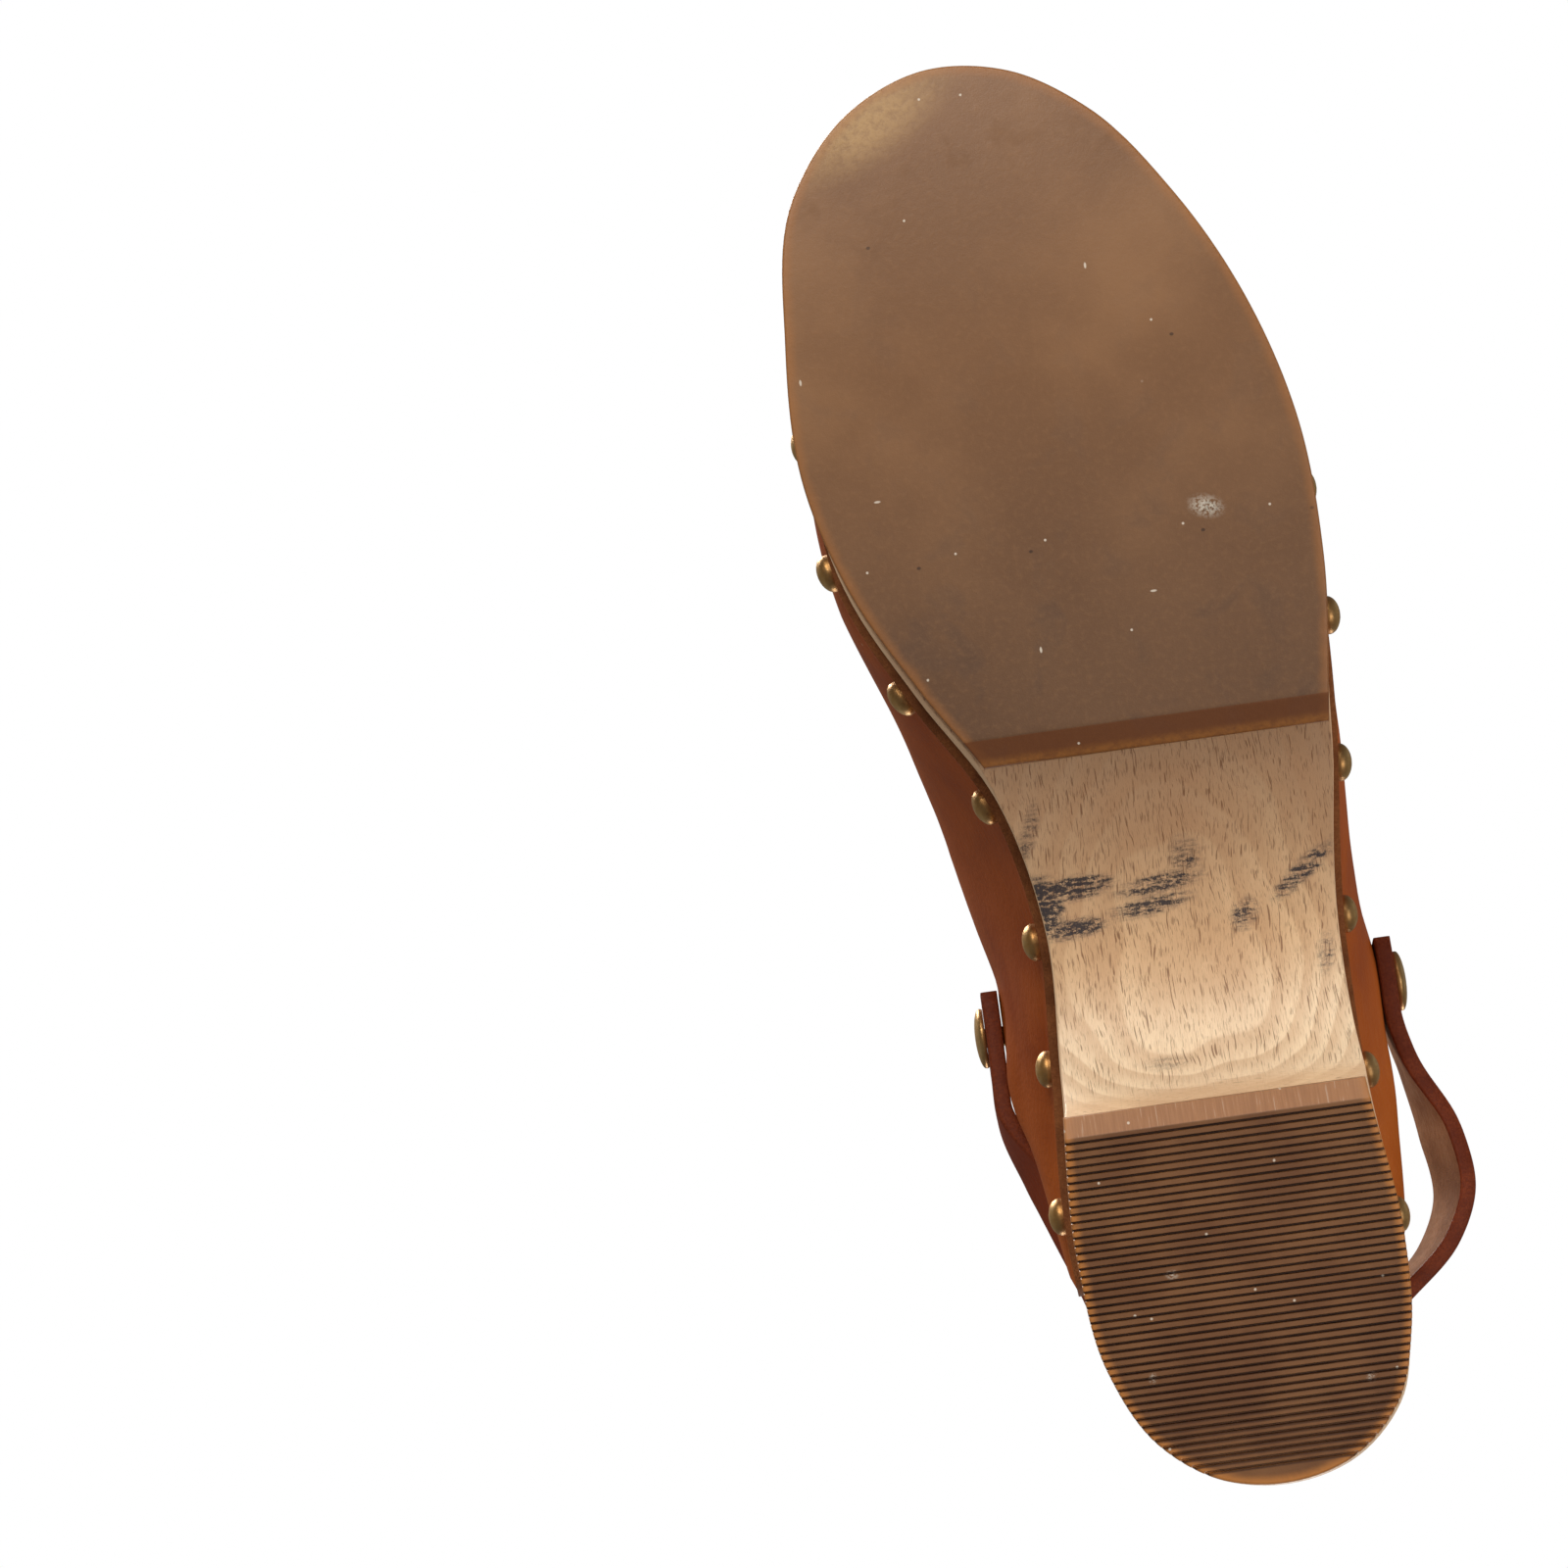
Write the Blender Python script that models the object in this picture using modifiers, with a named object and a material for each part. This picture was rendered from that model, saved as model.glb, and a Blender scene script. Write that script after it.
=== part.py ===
# A heeled clog for the left foot: wooden base, rubber treads, nailed leather upper, swivelling strap.
# Sizes are millimetres in the shoe's own directions: u forward from the heel, v towards the little
# toe, z up from the ground. place() turns them into metres with the toe towards -Y.

import math

import bmesh
import bpy
import numpy as np
from mathutils import Matrix, Vector

MID_U = 130.43           # the middle of the whole clog, which stands on the origin
MID_V = -5.96

OUTSOLE_REAR = 135.0
OUTSOLE_THICK = 4.0
OUTSOLE_SKIVE = 5.2      # length of the skived rear edge
SKIVE_HEIGHT = 2.4       # height that each skive takes off
TOE_TIP = 262.0
TOE_SPRING_START = 205.0
TOE_SPRING = 6.0         # lift of the tread at the toe

TOP_PIECE_FRONT = 70.5
TOP_PIECE_THICK = 6.0
TOP_PIECE_SKIVE = 3.6    # length of its skived front edge
RIDGE_PITCH = 1.42
RIDGE_DEPTH = 0.7
RIDGE_COUNT = 45

GAP = 0.3                # space between pieces that touch
LEATHER = 2.2
LAP = 11.0               # height of base that the leather covers
RIM_ROUND = 3.0          # the footbed's eased edge
STRIP_START = 12.0       # the wood's side strip is upright from here up
BLOCK_TOP = 80.0         # height that the block is drawn to before the footbed is cut
FOOTBED_MIDDLE = (130.0, -12.0)
FOOTBED_HALF = (140.0, 60.0)
UPPER_REAR = 34.0        # where the quarters end
UPPER_ROWS = 9

NAIL_RISE = 5.5          # nails stand this far above the leather's lower edge
NAIL_SEAT = 0.5          # space under a flat nail head on curved leather
NAIL_HEAD = 3.5
NAIL_DOME = 2.3
NAIL_SHANK = 1.0
NAIL_LENGTH = 12.0
NAIL_POINT = 3.0         # length of its tapered end
NAIL_SIDES = 10
OUTER_NAILS = (41.0, 69.0, 99.0, 127.3, 154.3)
INNER_NAILS = (49.4, 77.4, 101.8, 128.8, 151.0, 174.8)
TOE_NAILS = 9

RIVET_U = 83.2
RIVET_Z = 88.0
RIVET_CAP = 5.8
RIVET_DOME = 1.9
RIVET_RIM = 0.5          # height of the cap's upright rim
RIVET_CLENCH = 0.3       # how far the post stands out of its back
RIVET_POST = 2.0
RIVET_BACK = 5.0
RIVET_BACK_THICK = 1.0
RIVET_SLACK = 0.9        # play between the leather, which isn't quite flat, and the rivet's back
RIVET_SIDES = 20
OUTER_PAD = 35.9         # outer face of the leather under each rivet
INNER_PAD = -36.7

STRAP_WIDTH = 15.0
STRAP_THICK = 3.2
STRAP_TAIL = 8.0         # strap ahead of the rivet
STRAP_DROP = math.radians(11.0)
STRAP_LEAN = math.radians(-19.0)
LEAN_START = 14.0        # behind the rivets by this much the strap begins to lean
LEAN_REACH = 18.0        # and over this much it comes to its full lean
TAIL_ROUND = 3.0         # length of the narrowed end of the strap

STEPS = 3                # points between two control points of an outline

# The tread's outline on the ground, from the back of the heel round the outer side to the toe.
GROUND = [
    (0.0, 2.0), (3.4, 15.5), (12.0, 24.4), (25.0, 28.5), (42.0, 29.5), (70.0, 26.6), (100.0, 26.3),
    (135.0, 29.0), (165.0, 32.1), (190.0, 30.9), (212.0, 25.0), (234.0, 14.2), (251.0, 1.3),
    (260.0, -12.5), (262.0, -27.0), (256.0, -42.0), (242.0, -53.8), (216.0, -58.8), (190.0, -59.1),
    (170.0, -53.6), (150.0, -43.2), (130.0, -31.4), (105.0, -26.6), (75.0, -28.2), (45.0, -29.6),
    (24.0, -26.9), (10.0, -19.8), (2.0, -9.0)]

# The wood's outline above the treads, point for point beside the ground outline.
WOOD = [
    (-1.5, 2.6), (2.0, 16.6), (11.0, 25.6), (24.6, 28.9), (42.0, 29.7), (70.0, 27.4), (100.0, 27.0),
    (135.0, 29.9), (165.0, 31.5), (190.0, 30.2), (212.0, 24.4), (234.0, 13.8), (251.0, 1.0),
    (260.4, -12.6), (262.2, -27.0), (255.8, -41.6), (241.6, -53.0), (216.0, -57.8), (190.0, -58.4),
    (170.0, -54.2), (149.6, -44.2), (129.6, -32.6), (105.0, -26.8), (75.0, -27.6), (45.0, -28.8),
    (23.6, -26.0), (9.0, -18.8), (0.6, -8.2)]

# How far the wood is cut back under the leather, for each of those points.
STEP_IN = [0.8, 0.8, 0.8, 0.8, 0.8, 0.8, 0.8, 0.8, 2.0, 3.6, 4.2, 4.2, 4.2, 4.2, 4.2, 4.2, 4.2, 4.0, 3.2, 1.2,
           0.8, 0.8, 0.8, 0.8, 0.8, 0.8, 0.8, 0.8]

RIM = [(-5.0, 62.5), (30.0, 61.5), (60.0, 57.5), (90.0, 49.5), (120.0, 38.5), (150.0, 29.8),
       (180.0, 26.6), (210.0, 27.2), (240.0, 30.0), (266.0, 34.2)]
DISH = [(-5.0, 0.0), (4.0, 0.4), (18.0, 2.6), (38.0, 3.8), (70.0, 2.6), (100.0, 1.4), (140.0, 1.4),
        (185.0, 2.4), (225.0, 1.8), (262.0, 0.5)]
ARCH = [(70.5, 6.3), (73.2, 13.5), (78.5, 21.0), (87.0, 26.0), (97.0, 26.8), (109.0, 23.4),
        (121.0, 16.2), (130.0, 9.6), (137.5, 4.3)]

# The upper's top edge: u, v, z, from the outer quarter's rear end over the instep to the inner one.
TOPLINE = [
    (36.0, 33.6, 63.0), (52.0, 34.8, 67.5), (63.0, 35.6, 74.5), (74.0, 35.9, 88.5), (88.0, 35.9, 99.0),
    (101.0, 34.6, 102.0), (124.0, 26.0, 101.0), (142.0, 10.0, 96.5), (150.0, -10.0, 93.5),
    (142.0, -29.0, 97.0), (124.0, -40.0, 101.5), (104.0, -39.4, 102.0), (92.0, -36.7, 99.8),
    (74.0, -36.5, 88.5), (63.0, -33.9, 74.5), (52.0, -33.0, 67.5), (36.0, -31.2, 63.0)]
# Where each of those points meets the base, as u on its outer or inner side, 1 or -1, toe 0.
FOOTING = [(34.0, 1), (51.0, 1), (63.0, 1), (73.0, 1), (88.0, 1), (104.0, 1), (145.0, 1), (205.0, 1),
           (262.0, 0), (212.0, -1), (152.0, -1), (107.0, -1), (92.0, -1), (73.0, -1), (63.0, -1),
           (51.0, -1), (34.0, -1)]
# How the leather leaves the base (rise, outward) and reaches the top edge (forward, outward, drop).
SWELL = [
    (1.0, 0.6, 0.0, 0.0, 1.0), (3.0, 1.4, 0.0, 0.8, 3.0), (7.0, 3.0, 0.0, 1.5, 7.0),
    (12.0, 5.2, 0.0, 0.6, 16.0), (14.0, 5.6, 0.0, 0.0, 22.0), (14.0, 4.4, 2.0, 0.6, 22.0),
    (17.0, 2.4, 12.0, 9.0, 23.0), (18.0, 3.4, 36.0, 13.0, 18.0), (20.0, 4.4, 52.0, 0.0, 17.0),
    (18.0, 6.0, 34.0, 11.0, 18.0), (18.0, 4.4, 12.0, 9.0, 21.0), (17.0, 6.0, 2.0, 1.6, 21.0),
    (14.0, 7.0, 0.0, 0.0, 22.0), (12.0, 5.6, 0.0, 0.9, 16.0), (7.0, 3.4, 0.0, 2.4, 7.0),
    (3.0, 1.6, 0.0, 1.2, 3.0), (1.0, 0.6, 0.0, 0.0, 1.0)]

# The strap's outer face seen from above, u and v, from the outer rivet round the heel to the inner one.
STRAP_PATH = [
    (67.0, 41.2), (54.0, 45.0), (40.0, 46.0), (30.5, 41.4), (21.5, 31.4), (11.5, 17.0), (7.0, 1.0),
    (10.5, -12.6), (20.5, -22.0), (38.0, -28.8), (54.0, -34.6), (67.0, -40.2)]


def place(u, v, z):
    return Vector(((v - MID_V) / 1000, (MID_U - u) / 1000, z / 1000))


def tangents(points, closed):
    # The slope at each point of a smooth curve through all of them, per unit of distance between them.
    if closed:
        before = np.roll(points, 1, axis=0)
        after = np.roll(points, -1, axis=0)
    else:
        before = np.vstack([2 * points[0] - points[1], points[:-1]])
        after = np.vstack([points[1:], 2 * points[-1] - points[-2]])
    near = np.linalg.norm(points - before, axis=1)[:, None]
    far = np.linalg.norm(after - points, axis=1)[:, None]
    return ((points - before) / near * far + (after - points) / far * near) / (near + far)


def smooth(points, steps, closed=False):
    # Points along a smooth curve through the given ones, with the same number between each two.
    points = np.array(points, dtype=float)
    slopes = tangents(points, closed)
    count = len(points)
    found = []
    for i in range(count if closed else count - 1):
        j = (i + 1) % count
        span = np.linalg.norm(points[j] - points[i])
        for t in np.arange(steps) / steps:
            found.append((2 * t**3 - 3 * t**2 + 1) * points[i] + (t**3 - 2 * t**2 + t) * span * slopes[i]
                         + (3 * t**2 - 2 * t**3) * points[j] + (t**3 - t**2) * span * slopes[j])
    if not closed:
        found.append(points[-1])
    return np.array(found)


def height_at(profile, u):
    curve = smooth(profile, 8)
    return float(np.interp(u, curve[:, 0], curve[:, 1]))


def tread_height(u):
    reach = TOE_TIP - TOE_SPRING_START
    return TOE_SPRING * max(0.0, (u - TOE_SPRING_START) / reach) ** 2


def outward(outline):
    # Unit vectors pointing out of a closed outline at each of its points.
    along = np.roll(outline, -1, axis=0) - np.roll(outline, 1, axis=0)
    side = np.stack([-along[:, 1], along[:, 0]], axis=1)
    return side / np.linalg.norm(side, axis=1)[:, None]


def new_object(name, mesh, collection):
    thing = bpy.data.objects.new(name, mesh)
    collection.objects.link(thing)
    return thing


def mesh_from(name, bm, turn_out=True):
    if turn_out:
        bmesh.ops.recalc_face_normals(bm, faces=bm.faces)
    mesh = bpy.data.meshes.new(name)
    bm.to_mesh(mesh)
    bm.free()
    return mesh


def loft(name, rings):
    # A closed body through rings that hold the same number of points, some of which may coincide.
    bm = bmesh.new()
    rows = [[bm.verts.new(place(*point)) for point in ring] for ring in rings]
    count = len(rows[0])
    for low, high in zip(rows, rows[1:]):
        for i in range(count):
            bm.faces.new((low[i], low[(i + 1) % count], high[(i + 1) % count], high[i]))
    bm.faces.new(rows[0])
    bm.faces.new(rows[-1])
    bmesh.ops.remove_doubles(bm, verts=bm.verts, dist=0.00001)
    return mesh_from(name, bm)


def side_slab(name, profile):
    # A slab right across the shoe whose outline, seen from the side, is the profile of u and z.
    curve = bpy.data.curves.new(name, "CURVE")
    curve.dimensions = "2D"
    curve.fill_mode = "BOTH"
    curve.extrude = 0.1
    spline = curve.splines.new("POLY")
    spline.points.add(len(profile) - 1)
    for point, (u, z) in zip(spline.points, profile):
        point.co = ((u - MID_U) / 1000, z / 1000, 0, 1)
    spline.use_cyclic_u = True
    holder = bpy.data.objects.new(name, curve)
    bpy.context.scene.collection.objects.link(holder)
    graph = bpy.context.evaluated_depsgraph_get()
    mesh = bpy.data.meshes.new_from_object(holder.evaluated_get(graph))
    bpy.data.objects.remove(holder)
    mesh.transform(Matrix(((0, 0, 1, 0), (-1, 0, 0, 0), (0, 1, 0, 0), (0, 0, 0, 1))))
    bm = bmesh.new()
    bm.from_mesh(mesh)
    bmesh.ops.remove_doubles(bm, verts=bm.verts, dist=0.00001)
    return mesh_from(name, bm)


def boolean(thing, cutter, operation="DIFFERENCE"):
    cut = thing.modifiers.new(cutter.name, "BOOLEAN")
    cut.object = cutter
    cut.operation = operation
    cut.solver = "EXACT"


def cutter_object(name, mesh, collection):
    cutter = new_object(name, mesh, collection)
    cutter.hide_render = True
    cutter.display_type = "WIRE"
    return cutter


def finish(thing, colour, roughness, metallic=0.0):
    material = bpy.data.materials.new(thing.name)
    material.use_nodes = True
    shader = material.node_tree.nodes["Principled BSDF"]
    shader.inputs["Base Color"].default_value = (*colour, 1)
    shader.inputs["Roughness"].default_value = roughness
    shader.inputs["Metallic"].default_value = metallic
    material.diffuse_color = (*colour, 1)
    thing.data.materials.append(material)
    thing.data.shade_smooth()
    thing.data.set_sharp_from_angle(angle=math.radians(35))


# Where things sit along the wood's outline.

def wood_line():
    return smooth(WOOD, STEPS, closed=True)


def steps_in():
    # How far the wood is cut back at each point of its line: nothing behind the leather.
    count = len(STEP_IN)
    steps = np.interp(np.arange(count * STEPS) / STEPS, range(count + 1), [*STEP_IN, STEP_IN[0]])
    return np.where(wood_line()[:, 0] >= UPPER_REAR, steps, 0.0)


def upper_columns():
    # The outline points that the leather covers, with their outward directions, heel to toe to heel.
    line = wood_line()
    sides = outward(line)
    keep = [i for i, point in enumerate(line) if point[0] >= UPPER_REAR]
    return line[keep], sides[keep]


def distance_along(line):
    return np.concatenate([[0.0], np.cumsum(np.linalg.norm(np.diff(line, axis=0), axis=1))])


def station_of(line, u, side):
    # How far along the line the shoe's side (1 outer, -1 inner, 0 the toe) has the given u.
    run = distance_along(line)
    toe = int(np.argmax(line[:, 0]))
    if side == 0:
        return run[toe]
    if side > 0:
        return float(np.interp(u, line[:toe + 1, 0], run[:toe + 1]))
    return float(np.interp(-u, -line[toe:, 0], run[toe:]))


def upper_grid():
    # Rows of points on the leather's outer face, from its lower edge (row 0) to its top edge.
    line, sides = upper_columns()
    run = distance_along(line)
    stations = [station_of(line, u, side) for u, side in FOOTING]
    shape = smooth(np.hstack([np.array(stations)[:, None], TOPLINE, SWELL]), 6)
    held = [np.interp(run, shape[:, 0], shape[:, k]) for k in range(1, 9)]
    top_u, top_v, top_z, rise, out, ahead, apart, drop = held
    steps = steps_in()
    edge = []
    for (u, v), (nu, nv), step in zip(line, sides, steps[wood_line()[:, 0] >= UPPER_REAR]):
        reach = LEATHER + GAP - step
        edge.append([u + nu * reach, v + nv * reach, height_at(RIM, u) - LAP])
    rows = [[np.array(point) for point in edge]]
    for t in np.linspace(0, 1, UPPER_ROWS):
        row = []
        for i, point in enumerate(edge):
            nu, nv = sides[i]
            foot = np.array(point) + np.array([0, 0, LAP - RIM_ROUND])
            top = np.array([top_u[i], top_v[i], top_z[i]])
            knee = foot + np.array([nu * out[i], nv * out[i], rise[i]])
            hip = top + np.array([ahead[i], nv * apart[i], -drop[i]])
            row.append((1 - t)**3 * foot + 3 * (1 - t)**2 * t * knee + 3 * (1 - t) * t**2 * hip
                       + t**3 * top)
        rows.append(row)
    return rows


def nail_stations():
    line, _ = upper_columns()
    outer = [station_of(line, u, 1) for u in OUTER_NAILS]
    inner = [station_of(line, u, -1) for u in INNER_NAILS]
    start = outer[-1]
    pitch = (inner[-1] - start) / (TOE_NAILS + 1)
    toe = [start + pitch * (i + 1) for i in range(TOE_NAILS)]
    return outer + toe + inner[::-1]


def nail_matrices():
    # One matrix for each nail: its origin on the leather's outer face, its local Z pointing out.
    line, sides = upper_columns()
    run = distance_along(line)
    rows = np.array(upper_grid())
    found = []
    for station in nail_stations():
        column = [place(*[np.interp(station, run, row[:, k]) for k in range(3)]) for row in rows]
        heights = [point.z for point in column]
        low, spot, high = [
            Vector([np.interp(heights[0] + (NAIL_RISE + step) / 1000, heights, [p[k] for p in column])
                    for k in range(3)]) for step in (-2, 0, 2)]
        side = Vector((np.interp(station, run, sides[:, 1]), -np.interp(station, run, sides[:, 0]), 0))
        rise = (high - low).normalized()
        out = (side - rise * side.dot(rise)).normalized()
        turn = Vector((0, 0, 1)).rotation_difference(out).to_matrix().to_4x4()
        found.append(Matrix.Translation(spot + out * NAIL_SEAT / 1000) @ turn)
    return found


# The pieces.

def wooden_base(parts, cutters):
    # The block steps in above its side strip, where the leather laps it.
    ground = smooth(GROUND, STEPS, closed=True)
    wood = wood_line()
    low = [height_at(RIM, u) - LAP - GAP for u, _ in wood]
    lapped = wood - outward(wood) * steps_in()[:, None]
    rounded = lapped - outward(wood) * RIM_ROUND
    rim = [height_at(RIM, u) for u, _ in wood]
    rings = [[(u, v, 0.0) for u, v in ground],
             [(u, v, STRIP_START) for u, v in wood],
             [(u, v, z) for (u, v), z in zip(wood, low)],
             [(u, v, z) for (u, v), z in zip(lapped, low)],
             [(u, v, z - RIM_ROUND) for (u, v), z in zip(lapped, rim)],
             [(u, v, z) for (u, v), z in zip(rounded, rim)],
             [(u, v, BLOCK_TOP) for u, v in rounded]]
    base = new_object("wooden_base", loft("wooden_base", rings), parts)
    finish(base, (0.72, 0.50, 0.31), 0.55)
    boolean(base, cutter_object("under_cut", under_cut(), cutters))
    boolean(base, cutter_object("footbed_cut", footbed_cut(), cutters))
    return base


def under_cut():
    # Everything below the wood: the heel's seat, the arch and the forefoot with its toe spring.
    profile = [(-30.0, -10.0), (-30.0, TOP_PIECE_THICK + GAP)]
    profile += [tuple(point) for point in smooth(ARCH, 3)]
    for u in np.linspace(TOE_SPRING_START - 10, 275, 9):
        profile.append((u, tread_height(u) + OUTSOLE_THICK + GAP))
    profile.append((275.0, -10.0))
    return side_slab("under_cut", profile)


def footbed_cut():
    # Everything above the footbed, which is dished between the rims.
    bm = bmesh.new()
    bmesh.ops.create_grid(bm, x_segments=14, y_segments=34, size=1)
    line = wood_line()
    toe = int(np.argmax(line[:, 0]))
    heel = int(np.argmin(line[:, 0]))
    outer = line[heel:toe + 1]
    inner = line[toe:]
    for vert in bm.verts:
        u = FOOTBED_MIDDLE[0] - FOOTBED_HALF[0] * vert.co.y
        v = FOOTBED_MIDDLE[1] + FOOTBED_HALF[1] * vert.co.x
        left = np.interp(-u, -inner[:, 0], inner[:, 1])
        right = np.interp(u, outer[:, 0], outer[:, 1])
        across = min(1.0, abs(v - (left + right) / 2) / max(6.0, (right - left) / 2))
        vert.co = place(u, v, height_at(RIM, u) - height_at(DISH, u) * (1 - across**2))
    top = bmesh.ops.extrude_face_region(bm, geom=bm.faces[:])
    for item in top["geom"]:
        if isinstance(item, bmesh.types.BMVert):
            item.co.z = 1.5 * BLOCK_TOP / 1000
    return mesh_from("footbed_cut", bm)


def forefoot_outsole(parts, cutters):
    ground = smooth(GROUND, STEPS, closed=True)
    rings = [[(u, v, z) for u, v in ground] for z in (-5.0, 30.0)]
    sole = new_object("forefoot_outsole", loft("forefoot_outsole", rings), parts)
    finish(sole, (0.22, 0.11, 0.045), 0.5)
    profile = [(OUTSOLE_REAR, OUTSOLE_THICK), (OUTSOLE_REAR, SKIVE_HEIGHT)]
    profile.append((OUTSOLE_REAR + OUTSOLE_SKIVE, 0.0))
    bends = np.linspace(TOE_SPRING_START, 270, 10)
    profile += [(u, tread_height(u)) for u in bends]
    profile += [(u, tread_height(u) + OUTSOLE_THICK) for u in bends[::-1]]
    boolean(sole, cutter_object("outsole_shape", side_slab("outsole_shape", profile), cutters), "INTERSECT")
    return sole


def heel_top_piece(parts, cutters):
    ground = smooth(GROUND, STEPS, closed=True)
    rings = [[(u, v, z) for u, v in ground] for z in (-5.0, 30.0)]
    piece = new_object("heel_top_piece", loft("heel_top_piece", rings), parts)
    finish(piece, (0.24, 0.12, 0.045), 0.5)
    profile = [(-10.0, TOP_PIECE_THICK), (-10.0, 0.0)]
    ridges_end = TOP_PIECE_FRONT - TOP_PIECE_SKIVE
    first = ridges_end - RIDGE_COUNT * RIDGE_PITCH
    for i in range(RIDGE_COUNT):
        u = first + i * RIDGE_PITCH
        profile += [(u, 0.0), (u + 0.14 * RIDGE_PITCH, RIDGE_DEPTH), (u + 0.46 * RIDGE_PITCH, RIDGE_DEPTH),
                    (u + 0.6 * RIDGE_PITCH, 0.0)]
    profile += [(ridges_end, 0.0), (TOP_PIECE_FRONT, SKIVE_HEIGHT), (TOP_PIECE_FRONT, TOP_PIECE_THICK)]
    shape = cutter_object("top_piece_shape", side_slab("top_piece_shape", profile), cutters)
    boolean(piece, shape, "INTERSECT")
    return piece


def leather_upper(parts):
    bm = bmesh.new()
    grid = [[bm.verts.new(place(*point)) for point in row] for row in upper_grid()]
    for low, high in zip(grid, grid[1:]):
        for i in range(len(low) - 1):
            bm.faces.new((low[i], high[i], high[i + 1], low[i + 1]))
    mesh = bpy.data.meshes.new("leather_upper")
    bm.to_mesh(mesh)
    bm.free()
    upper = new_object("leather_upper", mesh, parts)
    finish(upper, (0.30, 0.10, 0.03), 0.45)
    shell = upper.modifiers.new("thickness", "SOLIDIFY")
    shell.thickness = LEATHER / 1000
    shell.offset = -1
    shell.use_even_offset = True
    return upper


def strap_frame(u, v, w):
    # A point of the strap: u and v before it drops, w up its width, swung down about the rivets.
    back = RIVET_U - u
    spread = min(1.0, max(0.0, (back - LEAN_START) / LEAN_REACH))
    lean = STRAP_LEAN * spread * spread * (3 - 2 * spread)
    v += w * math.sin(lean)
    w *= math.cos(lean)
    down = back * math.cos(STRAP_DROP) + w * math.sin(STRAP_DROP)
    return place(RIVET_U - down, v, RIVET_Z + w * math.cos(STRAP_DROP) - back * math.sin(STRAP_DROP))


def heel_strap(parts):
    outer = OUTER_PAD + GAP + STRAP_THICK
    inner = INNER_PAD - GAP - STRAP_THICK
    tail = RIVET_U + STRAP_TAIL
    path = [(tail, outer), (RIVET_U, outer), (RIVET_U - 8, outer + 0.1), *STRAP_PATH,
            (RIVET_U - 8, inner - 0.1), (RIVET_U, inner), (tail, inner)]
    half = STRAP_WIDTH / 2
    bm = bmesh.new()
    columns = []
    for u, v in smooth(path, 4):
        ahead = max(0.0, u - (tail - TAIL_ROUND))
        trim = half - 0.5 * ahead
        columns.append([bm.verts.new(strap_frame(u, v, w * trim)) for w in (-1, 0, 1)])
    for first, second in zip(columns, columns[1:]):
        for i in range(2):
            bm.faces.new((first[i], second[i], second[i + 1], first[i + 1]))
    mesh = bpy.data.meshes.new("heel_strap")
    bm.to_mesh(mesh)
    bm.free()
    strap = new_object("heel_strap", mesh, parts)
    finish(strap, (0.22, 0.07, 0.03), 0.5)
    band = strap.modifiers.new("thickness", "SOLIDIFY")
    band.thickness = STRAP_THICK / 1000
    band.offset = -1
    band.use_even_offset = True
    return strap


def turned(name, profile, sides, parts, ring=False):
    # A turned piece about its own Z from a profile of radius and height in millimetres.
    mesh = bpy.data.meshes.new(name)
    count = len(profile)
    points = [(radius / 1000, 0, z / 1000) for radius, z in profile]
    mesh.from_pydata(points, [(i, (i + 1) % count) for i in range(count if ring else count - 1)], [])
    thing = new_object(name, mesh, parts)
    screw = thing.modifiers.new("turn", "SCREW")
    screw.steps = sides
    screw.render_steps = sides
    screw.use_merge_vertices = True
    screw.merge_threshold = 0.00001
    return thing


def nail(name, matrix, parts):
    dome = [(NAIL_HEAD * math.sin(a), NAIL_DOME * math.cos(a)) for a in np.radians((0, 30, 60, 90))]
    shank = [(NAIL_SHANK, 0.0), (NAIL_SHANK, -NAIL_LENGTH + NAIL_POINT), (0.0, -NAIL_LENGTH)]
    thing = turned(name, dome + shank, NAIL_SIDES, parts)
    thing.matrix_world = matrix
    finish(thing, (0.45, 0.33, 0.13), 0.35, 1.0)
    return thing


def shank_holes(matrices, cutters):
    bm = bmesh.new()
    radius = (NAIL_SHANK + GAP) / 1000
    for matrix in matrices:
        bmesh.ops.create_cone(bm, cap_ends=True, segments=8, radius1=radius, radius2=radius,
                              depth=0.016, matrix=matrix @ Matrix.Translation((0, 0, -0.005)))
    return cutter_object("shank_holes", mesh_from("shank_holes", bm, turn_out=False), cutters)


def rivet(side, face, parts):
    # A domed cap with its post, and the disc it is clenched on inside the leather.
    sign = 1 if face > 0 else -1
    seat = face + sign * (GAP + STRAP_THICK + GAP)
    stack = GAP + STRAP_THICK + GAP + LEATHER + RIVET_SLACK
    dome = [(RIVET_CAP * math.sin(a), RIVET_RIM + (RIVET_DOME - RIVET_RIM) * math.cos(a))
            for a in np.radians((0, 20, 40, 65, 90))]
    post_end = -stack - RIVET_BACK_THICK
    rim = [(RIVET_CAP, 0.0), (RIVET_POST, 0.0), (RIVET_POST, post_end), (0.0, post_end - RIVET_CLENCH)]
    cap = turned(f"strap_rivet_{side}", dome + rim, RIVET_SIDES, parts)
    back = [(RIVET_BACK, -stack), (RIVET_BACK, post_end), (RIVET_POST + GAP, post_end),
            (RIVET_POST + GAP, -stack)]
    disc = turned(f"rivet_back_{side}", back, RIVET_SIDES, parts, ring=True)
    turn = Matrix.Rotation(math.radians(90 * sign), 4, "Y")
    for thing in (cap, disc):
        thing.matrix_world = Matrix.Translation(place(RIVET_U, seat, RIVET_Z)) @ turn
        finish(thing, (0.45, 0.33, 0.13), 0.35, 1.0)


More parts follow.
